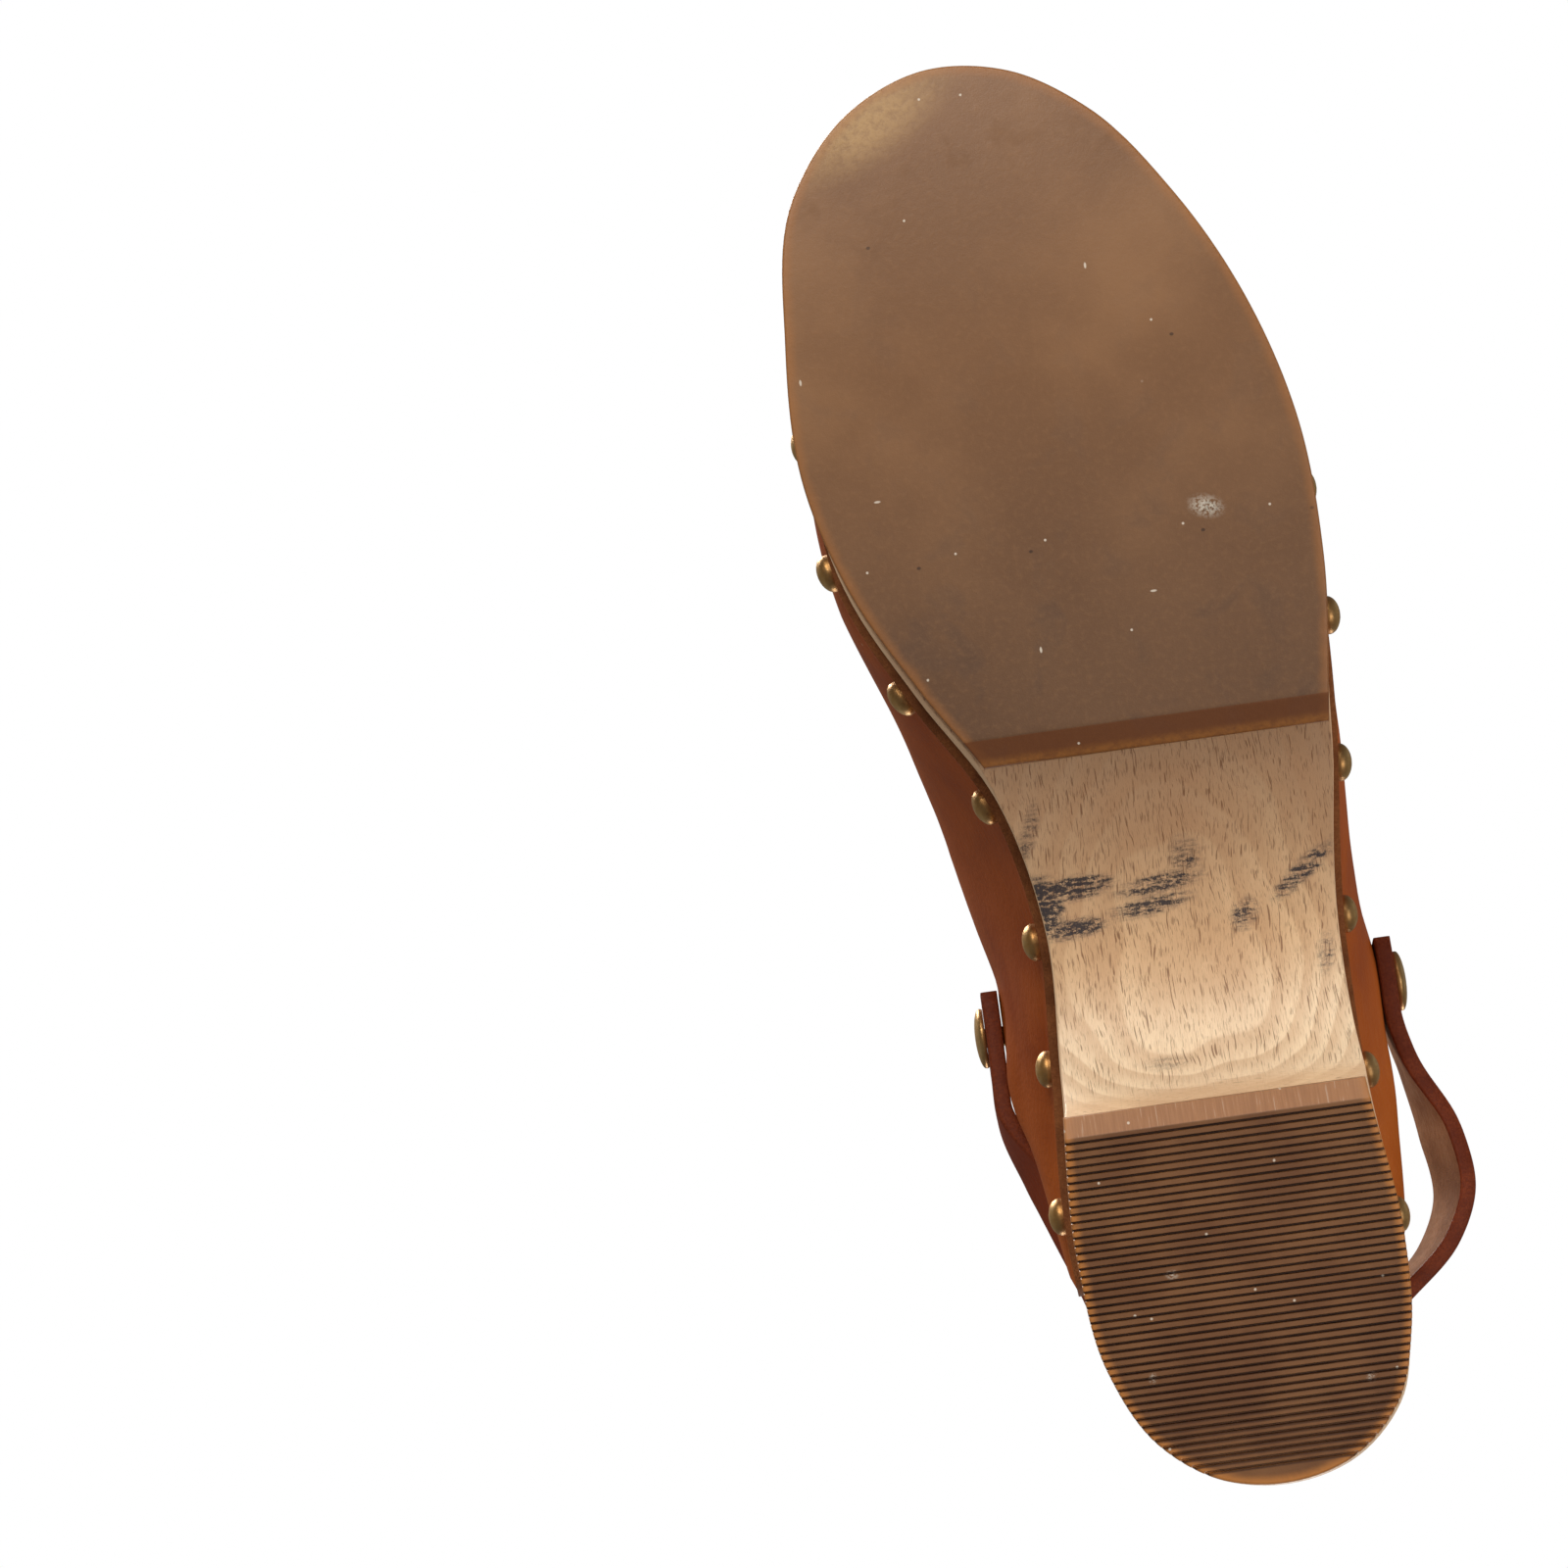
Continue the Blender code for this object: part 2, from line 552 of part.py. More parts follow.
def post_hole(cutters):
    bm = bmesh.new()
    radius = (RIVET_POST + GAP) / 1000
    bmesh.ops.create_cone(bm, cap_ends=True, segments=16, radius1=radius, radius2=radius, depth=0.12)
    turn = Matrix.Rotation(math.radians(90), 4, "Y")
    bm.transform(Matrix.Translation(place(RIVET_U, 0, RIVET_Z)) @ turn)
    return cutter_object("post_hole", mesh_from("post_hole", bm), cutters)


def main():
    for thing in list(bpy.data.objects):
        bpy.data.objects.remove(thing)
    parts = bpy.data.collections.new("wooden_clog")
    cutters = bpy.data.collections.new("cutters")
    bpy.context.scene.collection.children.link(parts)
    bpy.context.scene.collection.children.link(cutters)

    base = wooden_base(parts, cutters)
    forefoot_outsole(parts, cutters)
    heel_top_piece(parts, cutters)
    upper = leather_upper(parts)
    strap = heel_strap(parts)
    matrices = nail_matrices()
    for number, matrix in enumerate(matrices, 1):
        nail(f"upper_nail_{number:02}", matrix, parts)
    rivet("outer", OUTER_PAD, parts)
    rivet("inner", INNER_PAD, parts)
    holes = shank_holes(matrices, cutters)
    boolean(base, holes)
    boolean(upper, holes)
    hole = post_hole(cutters)
    boolean(upper, hole)
    boolean(strap, hole)


main()
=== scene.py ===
import math

import bmesh
import bpy
import numpy as np
from mathutils import Matrix, Vector, noise


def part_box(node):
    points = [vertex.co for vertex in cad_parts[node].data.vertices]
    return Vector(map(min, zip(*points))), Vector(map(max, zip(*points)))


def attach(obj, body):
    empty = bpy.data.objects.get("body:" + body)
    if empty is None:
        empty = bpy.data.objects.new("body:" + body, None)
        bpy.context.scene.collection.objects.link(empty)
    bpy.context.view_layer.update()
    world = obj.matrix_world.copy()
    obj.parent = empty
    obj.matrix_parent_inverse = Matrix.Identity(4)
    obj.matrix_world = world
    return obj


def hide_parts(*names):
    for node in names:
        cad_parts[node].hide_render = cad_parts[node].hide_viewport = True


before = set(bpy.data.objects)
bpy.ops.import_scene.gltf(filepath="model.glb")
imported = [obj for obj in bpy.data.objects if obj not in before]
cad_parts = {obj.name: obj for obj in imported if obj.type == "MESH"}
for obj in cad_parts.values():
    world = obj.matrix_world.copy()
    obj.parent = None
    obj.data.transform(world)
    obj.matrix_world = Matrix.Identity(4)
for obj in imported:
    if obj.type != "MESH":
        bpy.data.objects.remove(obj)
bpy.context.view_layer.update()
print("clog: frame loaded,", len(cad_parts), "solids")

shoe = {
    "midU": 130.43, "midV": -5.96,     # the origin of the frame in shoe directions
    "ground": [                        # outline of the treads, heel, outer side, toe, inner side
        (0.0, 2.0), (3.4, 15.5), (12.0, 24.4), (25.0, 28.5), (42.0, 29.5), (70.0, 26.6),
        (100.0, 26.3), (135.0, 29.0), (165.0, 32.1), (190.0, 30.9), (212.0, 25.0), (234.0, 14.2),
        (251.0, 1.3), (260.0, -12.5), (262.0, -27.0), (256.0, -42.0), (242.0, -53.8),
        (216.0, -58.8), (190.0, -59.1), (170.0, -53.6), (150.0, -43.2), (130.0, -31.4),
        (105.0, -26.6), (75.0, -28.2), (45.0, -29.6), (24.0, -26.9), (10.0, -19.8), (2.0, -9.0)],
    "wood": [                          # outline of the block, point for point beside the treads
        (-1.5, 2.6), (2.0, 16.6), (11.0, 25.6), (24.6, 28.9), (42.0, 29.7), (70.0, 27.4),
        (100.0, 27.0), (135.0, 29.9), (165.0, 31.5), (190.0, 30.2), (212.0, 24.4), (234.0, 13.8),
        (251.0, 1.0), (260.4, -12.6), (262.2, -27.0), (255.8, -41.6), (241.6, -53.0),
        (216.0, -57.8), (190.0, -58.4), (170.0, -54.2), (149.6, -44.2), (129.6, -32.6),
        (105.0, -26.8), (75.0, -27.6), (45.0, -28.8), (23.6, -26.0), (9.0, -18.8), (0.6, -8.2)],
    # how far the block is cut back under the leather, for each of those points
    "stepIn": [0.8] * 8 + [2.0, 3.6] + [4.2] * 7 + [4.0, 3.2, 1.2] + [0.8] * 8,
    "stripTop": 12.0,                  # the block's side is upright from here up
    "rim": [(-5, 62.5), (30, 61.5), (60, 57.5), (90, 49.5), (120, 38.5), (150, 29.8), (180, 26.6),
            (210, 27.2), (240, 30), (266, 34.2)],
    "dish": [(-5, 0), (4, 0.4), (18, 2.6), (38, 3.8), (70, 2.6), (100, 1.4), (140, 1.4),
             (185, 2.4), (225, 1.8), (262, 0.5)],
    "arch": [(70.5, 6.3), (73.2, 13.5), (78.5, 21), (87, 26), (97, 26.8), (109, 23.4),
             (121, 16.2), (130, 9.6), (137.5, 4.3)],
    "springStart": 205.0, "springEnd": 262.0, "spring": 6.0,
    "tipBlend": 15.0,                  # how far from each tip the stations close up
}


def place(u, v, z):
    return Vector(((v - shoe["midV"]) / 1000, (shoe["midU"] - u) / 1000, z / 1000))


def smoothCurve(points, steps, closed=False):
    # the same curve that the solids were drawn with, through every given point
    points = np.array(points, dtype=float)
    if closed:
        before, after = np.roll(points, 1, axis=0), np.roll(points, -1, axis=0)
    else:
        before = np.vstack([2 * points[0] - points[1], points[:-1]])
        after = np.vstack([points[1:], 2 * points[-1] - points[-2]])
    near = np.linalg.norm(points - before, axis=1)[:, None]
    far = np.linalg.norm(after - points, axis=1)[:, None]
    slopes = ((points - before) / near * far + (after - points) / far * near) / (near + far)
    found = []
    for i in range(len(points) if closed else len(points) - 1):
        j = (i + 1) % len(points)
        span = np.linalg.norm(points[j] - points[i])
        for t in np.arange(steps) / steps:
            found.append((2 * t**3 - 3 * t**2 + 1) * points[i] + (t**3 - 2 * t**2 + t) * span * slopes[i]
                         + (3 * t**2 - 2 * t**3) * points[j] + (t**3 - t**2) * span * slopes[j])
    if not closed:
        found.append(points[-1])
    return np.array(found)


rimCurve = smoothCurve(shoe["rim"], 8)
dishCurve = smoothCurve(shoe["dish"], 8)
archCurve = smoothCurve(shoe["arch"], 6)


def heightAt(curve, u):
    return float(np.interp(u, curve[:, 0], curve[:, 1]))


def clamped(value):
    return min(1.0, max(0.0, value))


def treadHeight(u):
    rising = (u - shoe["springStart"]) / (shoe["springEnd"] - shoe["springStart"])
    return shoe["spring"] * max(0.0, rising) ** 2


def splitSides(outline):
    # both sides of an outline from heel tip to toe tip: u, v, the direction pointing out, step in
    curve = smoothCurve(outline, 14, closed=True)
    along = np.roll(curve, -1, axis=0) - np.roll(curve, 1, axis=0)
    out = np.stack([-along[:, 1], along[:, 0]], axis=1)
    count = len(outline)
    step = np.interp(np.arange(len(curve)) * count / len(curve), range(count + 1),
                     [*shoe["stepIn"], shoe["stepIn"][0]])
    table = np.hstack([curve, out / np.linalg.norm(out, axis=1)[:, None], step[:, None]])
    table = np.roll(table, -int(np.argmin(table[:, 0])), axis=0)
    toe = int(np.argmax(table[:, 0]))
    return {1: table[:toe + 1], -1: np.vstack([table[toe:], table[:1]])[::-1]}


groundSides = splitSides(shoe["ground"])
woodSides = splitSides(shoe["wood"])
heelTip, toeTip = groundSides[1][0, 0], groundSides[1][-1, 0]
heelShift = woodSides[1][0, 0] - heelTip
toeShift = woodSides[1][-1, 0] - toeTip


def wallPoint(u, side, z, inset=0.0, straight=False):
    # a point on the shoe's wall, moved in by the inset; a straight wall keeps the tread's outline
    ground = [np.interp(u, groundSides[side][:, 0], groundSides[side][:, k]) for k in range(4)]
    nearHeel = max(0.0, 1 - (u - heelTip) / shoe["tipBlend"])
    nearToe = max(0.0, 1 - (toeTip - u) / shoe["tipBlend"])
    woodU = u + heelShift * nearHeel + toeShift * nearToe
    wood = [np.interp(woodU, woodSides[side][:, 0], woodSides[side][:, k]) for k in range(4)]
    share = 0.0 if straight else clamped(z / shoe["stripTop"])
    spot = (1 - share) * np.array(ground) + share * np.array(wood)
    out = spot[2:] / max(1e-9, np.linalg.norm(spot[2:]))
    return np.array([spot[0] - out[0] * inset, spot[1] - out[1] * inset, z])


def finishMesh(bm, name, closed=True):
    if closed:
        bmesh.ops.recalc_face_normals(bm, faces=bm.faces)
    mesh = bpy.data.meshes.new(name)
    bm.to_mesh(mesh)
    bm.free()
    return mesh


def rowLoft(name, rows, capFirst=False, capLast=False):
    # a closed body through rows of points that each run once round the section
    bm = bmesh.new()
    grid = [[bm.verts.new(place(*point)) for point in row] for row in rows]
    for low, high in zip(grid, grid[1:]):
        for i in range(len(low)):
            j = (i + 1) % len(low)
            bm.faces.new((low[i], low[j], high[j], high[i]))
    if capFirst:
        bm.faces.new(grid[0])
    if capLast:
        bm.faces.new(grid[-1])
    bmesh.ops.remove_doubles(bm, verts=bm.verts, dist=0.000004)
    bmesh.ops.dissolve_degenerate(bm, edges=bm.edges, dist=0.000002)
    return finishMesh(bm, name)


def meshPoints(mesh):
    co = np.zeros(len(mesh.vertices) * 3)
    mesh.vertices.foreach_get("co", co)
    return co.reshape(-1, 3)


def shoePositions(mesh):
    co = meshPoints(mesh) * 1000
    return shoe["midU"] - co[:, 1], co[:, 0] + shoe["midV"], co[:, 2]


def storeValue(mesh, name, values):
    attribute = mesh.attributes.new(name, "FLOAT", "POINT")
    attribute.data.foreach_set("value", np.array(values, dtype=np.float32))


def edgeDistance(mesh):
    # how far each point lies in from the tread's outline, for the paler rim of the rubber
    u, v, _ = shoePositions(mesh)
    line = smoothCurve(shoe["ground"], 12, closed=True)
    spots = np.stack([u, v], axis=1)
    return np.concatenate([
        np.sqrt(((part[:, None, :] - line[None, :, :]) ** 2).sum(2).min(1))
        for part in np.array_split(spots, max(1, len(spots) // 2000))])


def addObject(name, data):
    item = bpy.data.objects.new(name, data)
    bpy.context.scene.collection.objects.link(item)
    return item


def newPiece(name, mesh, body, node, sharp, matrix=None):
    # the piece rides on its body and stands in for one solid; edges over the sharp angle stay crisp
    piece = addObject(name, mesh)
    mesh.shade_smooth()
    mesh.set_sharp_from_angle(angle=math.radians(sharp))
    if matrix is not None:
        piece.matrix_world = matrix
    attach(piece, body)
    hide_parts(node)
    return piece


# Node helpers: positions are in millimetres, and colours are screen values from 0 to 255.

def tone(red, green, blue):
    share = [c / 255 for c in (red, green, blue)]
    return (*[c / 12.92 if c < 0.04045 else ((c + 0.055) / 1.055) ** 2.4 for c in share], 1)


def startMaterial(name, **sockets):
    material = bpy.data.materials.new(name)
    material.use_nodes = True
    tree = material.node_tree
    shader = tree.nodes["Principled BSDF"]
    for key, value in sockets.items():
        shader.inputs[key.replace("_", " ")].default_value = value
    coords = tree.nodes.new("ShaderNodeTexCoord").outputs["Object"]
    mm = addNode(tree, "VectorMath", {0: coords, "Scale": 1000.0}, operation="SCALE").outputs[0]
    return material, tree, shader, mm


def addNode(tree, kind, inputs=(), **settings):
    item = tree.nodes.new("ShaderNode" + kind)
    for key, value in settings.items():
        setattr(item, key, value)
    for key, value in dict(inputs).items():
        if isinstance(value, bpy.types.NodeSocket):
            tree.links.new(value, item.inputs[key])
        else:
            item.inputs[key].default_value = value
    return item


def stretched(tree, vector, x, y, z):
    return addNode(tree, "VectorMath", {0: vector, 1: (x, y, z)}, operation="MULTIPLY").outputs[0]


def cloud(tree, vector, scale, detail=3.0, rough=0.5, twist=0.0):
    return addNode(tree, "TexNoise", {"Vector": vector, "Scale": scale, "Detail": detail,
                                      "Roughness": rough, "Distortion": twist}).outputs["Fac"]


def cells(tree, vector, scale, **settings):
    return addNode(tree, "TexVoronoi", {"Vector": vector, "Scale": scale}, **settings).outputs


def level(tree, value, low, high, toLow=0.0, toHigh=1.0):
    # eases a value from one range into another
    return addNode(tree, "MapRange", {"Value": value, "From Min": low, "From Max": high,
                                      "To Min": toLow, "To Max": toHigh},
                   interpolation_type="SMOOTHSTEP").outputs["Result"]


def splitXyz(tree, vector):
    return addNode(tree, "SeparateXYZ", {0: vector}).outputs


def lengthOf(tree, vector):
    return addNode(tree, "VectorMath", {0: vector}, operation="LENGTH").outputs["Value"]


def stored(tree, name):
    return addNode(tree, "Attribute", attribute_name=name).outputs["Fac"]


def maths(tree, operation, first, second=0.0, third=0.0):
    return addNode(tree, "Math", {0: first, 1: second, 2: third}, operation=operation).outputs[0]


def times(tree, *values):
    found = values[0]
    for value in values[1:]:
        found = maths(tree, "MULTIPLY", found, value)
    return found


def opposite(tree, value):
    return maths(tree, "SUBTRACT", 1.0, value)


def strongest(tree, values):
    found = values[0]
    for value in values[1:]:
        found = maths(tree, "MAXIMUM", found, value)
    return found


def painted(tree, under, share, paint):
    # the paint laid over a colour by a share from 0 to 1
    inputs = {0: share, 6: tone(*under) if isinstance(under, tuple) else under, 7: tone(*paint)}
    return addNode(tree, "Mix", inputs, data_type="RGBA").outputs[2]


def layered(tree, colour, *layers):
    # each layer is a share from 0 to 1 and the paint that it lays over the colour
    for share, paint in layers:
        colour = painted(tree, colour, share, paint)
    return colour


def streaks(tree, vector, x, y, z, detail=3.0, rough=0.5):
    return cloud(tree, stretched(tree, vector, x, y, z), 1.0, detail, rough)


def spotMask(tree, mm, u, v, long, wide, turn, soft):
    # 1 in the middle of an oval on the sole, falling to 0 at its edge
    x, y = v - shoe["midV"], shoe["midU"] - u
    moved = addNode(tree, "Mapping", {"Vector": mm, "Location": (x, y, 0), "Rotation": (0, 0, turn),
                                      "Scale": (wide, long, 1)}, vector_type="TEXTURE").outputs[0]
    return level(tree, lengthOf(tree, stretched(tree, moved, 1, 1, 0)), 1.0, 1.0 - soft)


def bumpFrom(tree, shader, *layers):
    # each layer is a height from 0 to 1 and its depth in millimetres
    normal = None
    for height, depth in layers:
        item = addNode(tree, "Bump", {"Height": height, "Distance": depth / 1000, "Strength": 1.0})
        if normal is not None:
            tree.links.new(normal, item.inputs["Normal"])
        normal = item.outputs["Normal"]
    tree.links.new(normal, shader.inputs["Normal"])


def wire(tree, shader, colour, roughness):
    tree.links.new(colour, shader.inputs["Base Color"])
    tree.links.new(roughness, shader.inputs["Roughness"])


# The wood: pale beech, its rays showing as short dark flecks along the grain.

beech = {
    "pale": (226, 188, 144), "warm": (208, 166, 124), "band": (184, 138, 98), "paintedLight": (248, 226, 192),
    "fleck": (112, 68, 40), "paintedShade": (176, 134, 100), "rubbed": (44, 44, 52),
    "bandPitch": 6.4, "bandSag": 0.024, "bandMiddle": 4.0, "bandTilt": -0.14, "bandSway": 16.0,
    # the dark flecks: stretch along x, y and z, how rare they are, how dark, and whether on flat faces
    "flecks": [((3.4, 0.25, 0.05), 0.645, 0.7, True), ((4.6, 0.36, 0.08), 0.64, 0.5, True),
               ((6.0, 0.6, 0.1), 0.62, 0.25, True), ((0.5, 0.35, 2.6), 0.67, 0.45, False)],
    "fleckBend": 3.0,
    # black rubbed marks under the waist: u, v, half length, half width, turn, darkness
    "rubs": [(108.0, -27.0, 7.5, 5.5, 0.1, 2.2), (111.0, -20.0, 3.0, 9.0, -0.06, 1.7),
             (103.5, -21.5, 2.6, 8.0, -0.06, 1.4), (109.6, -5.0, 3.0, 11.0, -0.12, 0.95),
             (106.0, -7.0, 2.6, 10.0, -0.12, 1.15), (114.5, 0.5, 5.0, 4.0, 0.0, 0.6),
             (102.0, 10.0, 4.5, 3.2, 0.5, 0.95), (108.5, 21.5, 2.6, 9.5, -0.66, 1.2),
             (122.0, -27.5, 8.0, 2.2, 0.35, 0.55), (93.0, 24.0, 5.5, 2.2, 0.2, 0.6),
             (77.0, -8.0, 1.8, 6.0, 0.0, 0.3)],
}


def beechMaterial():
    material, tree, shader, mm = startMaterial("beech", Specular_IOR_Level=0.35)
    parts = splitXyz(tree, mm)
    faceUp = splitXyz(tree, addNode(tree, "NewGeometry").outputs["Normal"])[2]
    flat = level(tree, maths(tree, "ABSOLUTE", faceUp), 0.25, 0.6)
    # growth layers lie nearly level and sag across the block, so the hollowed waist cuts ovals
    sway = streaks(tree, mm, 0.045, 0.03, 0.04, 1.0)
    side = maths(tree, "SUBTRACT", parts[0], beech["bandMiddle"])
    tilted = maths(tree, "MULTIPLY_ADD", parts[1], beech["bandTilt"], parts[2])
    sagged = maths(tree, "MULTIPLY_ADD", times(tree, side, side), -beech["bandSag"], tilted)
    depth = maths(tree, "ADD", sagged, times(tree, sway, beech["bandSway"]))
    wave = maths(tree, "FRACT", maths(tree, "DIVIDE", depth, beech["bandPitch"]))
    rings = maths(tree, "MULTIPLY", level(tree, wave, 0.0, 0.8), level(tree, wave, 1.0, 0.86))
    large = streaks(tree, mm, 0.06, 0.02, 0.06)
    colour = painted(tree, beech["pale"], level(tree, large, 0.35, 0.65), beech["warm"])
    # under the waist, painted shade makes it browner near the outsole and painted light makes it paler near
    # the heel
    under = level(tree, faceUp, -0.2, -0.5)
    shadeNearSole = level(tree, parts[1], 34.0, -4.0)
    colour = painted(tree, colour, times(tree, shadeNearSole, under, 0.72), beech["paintedShade"])
    lightNearHeel = level(tree, parts[1], 30.0, 52.0)
    colour = painted(tree, colour, times(tree, lightNearHeel, under, 0.75), beech["paintedLight"])
    ringShare = maths(tree, "MULTIPLY_ADD", flat, 0.2, 0.16)
    colour = painted(tree, colour, times(tree, rings, ringShare), beech["band"])
    # fibre runs along the block, fine across the flat faces and the upright ones
    fibreTop = streaks(tree, mm, 5.5, 0.25, 0.25, 3.0, 0.6)
    fibreSide = streaks(tree, mm, 0.8, 0.2, 4.5, 3.0, 0.6)
    upright = opposite(tree, flat)
    fibre = maths(tree, "ADD", times(tree, fibreTop, flat), times(tree, fibreSide, upright))
    colour = painted(tree, colour, level(tree, fibre, 0.42, 0.75, 0.0, 0.34), beech["band"])
    wander = addNode(tree, "TexNoise", {"Vector": mm, "Scale": 0.06}).outputs["Color"]
    bend = addNode(tree, "VectorMath", {0: wander, "Scale": beech["fleckBend"]}, operation="SCALE")
    bent = addNode(tree, "VectorMath", {0: mm, 1: bend.outputs[0]}, operation="ADD").outputs[0]
    marks = strongest(tree, [
        times(tree, level(tree, streaks(tree, bent, *stretch, 1.0), low, low + 0.06), share,
              flat if onFlat else upright)
        for stretch, low, share, onFlat in beech["flecks"]])
    colour = painted(tree, colour, marks, beech["fleck"])
    # the rubbed marks are broken up by grit and combed along the grain
    grit = level(tree, streaks(tree, mm, 0.9, 1.6, 0.3, 5.0, 0.75), 0.34, 0.6)
    combed = level(tree, streaks(tree, mm, 0.10, 1.3, 0.2, 2.0), 0.34, 0.64)
    fine = level(tree, streaks(tree, mm, 5.0, 2.0, 1.0, 2.0, 0.6), 0.35, 0.6)
    rubbed = strongest(tree, [times(tree, spotMask(tree, mm, *oval, 0.75), dark)
                              for *oval, dark in beech["rubs"]])
    worn = maths(tree, "MULTIPLY_ADD", combed, 0.75, 0.35)
    speckled = maths(tree, "MULTIPLY_ADD", fine, 0.5, 0.6)
    rubbed = maths(tree, "MINIMUM", times(tree, rubbed, grit, worn, speckled, under, 1.5), 0.94)
    colour = painted(tree, colour, rubbed, beech["rubbed"])
    wire(tree, shader, colour, level(tree, fibre, 0.2, 0.8, 0.42, 0.62))
    bumpFrom(tree, shader, (fibre, 0.05), (opposite(tree, marks), 0.06))
    return material


block = {
    "seat": 6.3, "floor": 4.3,         # heights of the heel seat and of the forefoot over its tread
    "lap": 11.3, "rimRound": 3.0, "arris": 0.5, "rebateFrom": 34.0, "rebateEase": 0.6,
}


def soleHeight(u):
    # underside of the block: heel seat, arch and forefoot
    if u <= shoe["arch"][0][0]:
        return block["seat"]
    if u < shoe["arch"][-1][0]:
        return heightAt(archCurve, u)
    return treadHeight(u) + block["floor"]


def tipSpread(tip, reach, count):
    return tip + reach * (1 - np.cos(np.linspace(0, math.pi / 2, count)))


def blockRow(u):
    floor, rim = soleHeight(u), heightAt(rimCurve, u)
    low = rim - block["lap"]
    begun = clamped((u - block["rebateFrom"] + block["rebateEase"]) / block["rebateEase"])
    arris, turn = block["arris"], block["rimRound"]
    upright = max(floor + 1.4, shoe["stripTop"])
    # height, inset, and how much of the rebate's step is taken there
    wall = [(floor, arris, 0), (floor + 0.3 * arris, 0.3 * arris, 0), (floor + arris, 0.0, 0),
            (upright, 0.0, 0), ((upright + low) / 2, 0.0, 0), (low - 0.5, 0.0, 0),
            (low - 0.15, 0.12 * begun, 0), (low, 0.0, 0.5), (low, 0.0, 1)]
    wall += [(low + (rim - turn - low) * t, 0.0, 1) for t in (0.33, 0.66, 1.0)]
    wall += [(rim - turn + turn * math.sin(angle), turn * (1 - math.cos(angle)), 1)
             for angle in np.radians((15, 30, 45, 60, 75, 90))]
    walls = {}
    for side in (1, -1):
        step = begun * float(np.interp(u, woodSides[side][:, 0], woodSides[side][:, 4]))
        walls[side] = [wallPoint(u, side, z, inset + step * share) for z, inset, share in wall]
    outer, inner = walls[1], walls[-1]
    row = [outer[0] + (inner[0] - outer[0]) * t for t in np.linspace(0, 1, 15)]
    row += inner[1:]
    for t in np.linspace(0, 1, 21)[1:]:
        spot = inner[-1] + (outer[-1] - inner[-1]) * t
        spot[2] = rim - heightAt(dishCurve, u) * (1 - (2 * t - 1) ** 2)
        row.append(spot)
    return row + outer[-2:0:-1]


def makeBlock():
    stations = np.concatenate([
        tipSpread(heelTip, 15, 18), np.arange(17, 33, 2.5), [33.2, 33.5, 33.8, 34.1],
        np.arange(36, 70, 2.5), [70.5, 70.7, 71.0, 71.4, 71.9, 72.5, 73.2, 74, 75, 76.2, 77.5, 79],
        np.arange(81, 136, 1.8), [136.5, 137.5, 139], np.arange(141, 246, 3),
        tipSpread(toeTip, -15, 20)[::-1]])
    mesh = rowLoft("beechBlock", [blockRow(u) for u in stations])
    mesh.materials.append(beechMaterial())
    return newPiece("beechBlock", mesh, "clog", "wooden_base", 30)


# The rubber: plain gum rubber under the forefoot, a ribbed piece under the heel.

rubber = {
    "main": (130, 90, 56), "dark": (108, 72, 42), "light": (146, 104, 66), "rim": (170, 106, 46),
    "skive": (108, 56, 18), "lip": (150, 94, 36), "worn": (176, 138, 88), "darkerRear": (74, 50, 34),
    "crest": (122, 80, 44), "crestDark": (104, 64, 32), "groove": (58, 28, 6), "strip": (164, 112, 70),
    "heelRimHighlight": (190, 120, 52), "chalk": (190, 178, 160), "pit": (40, 32, 28), "lint": (214, 200, 180),
    "crumb": (46, 30, 20), "shine": 0.42,
    "soleRear": 135.0, "soleThick": 4.0, "skiveLong": 5.2, "skiveHigh": 2.4, "arris": 0.5, "topArris": 0.25,
    "heelFront": 70.5, "heelThick": 6.0, "heelSkive": 3.6,
    "ridges": 45, "ridgePitch": 1.42, "ridgeDeep": 0.7,
    # scuffed spots, the one at the toe also a painted highlight: u, v, half length, half width, turn,
    # softness
    "toeScuffAndHighlight": (254.0, -38.0, 9.0, 22.0, -0.5, 0.95), "scrape": (176.5, 12.3, 2.6, 4.2, 0.3, 0.9),
    "scrapePit": (176.0, 13.2, 1.6, 2.6, 0.2, 0.9),
    "heelChalk": [(40, -13, 1.2, 1.6, 0.0, 0.9), (22, -19, 1.4, 1.0, 0.2, 0.9),
                  (17, 20, 1.4, 1.2, 0.0, 0.9)],
    # lint on the forefoot: how close, size, share of the cells, slope
    "lintLayers": [(0.05, 0.3, 0.5, (1, 1)), (0.035, 0.28, 0.45, (1, 0.4)), (0.04, 0.26, 0.35, (0.35, 1))],
}


def lintMask(tree, mm, scale, size, share, slope=(1, 1)):
    speck = cells(tree, stretched(tree, mm, *slope, 0.0), scale, voronoi_dimensions="2D")
    chosen = addNode(tree, "SeparateColor", {0: speck["Color"]}).outputs[1]
    return times(tree, level(tree, speck["Distance"], size * scale, size * scale * 0.5),
                 level(tree, chosen, 1 - share, 1.02 - share))


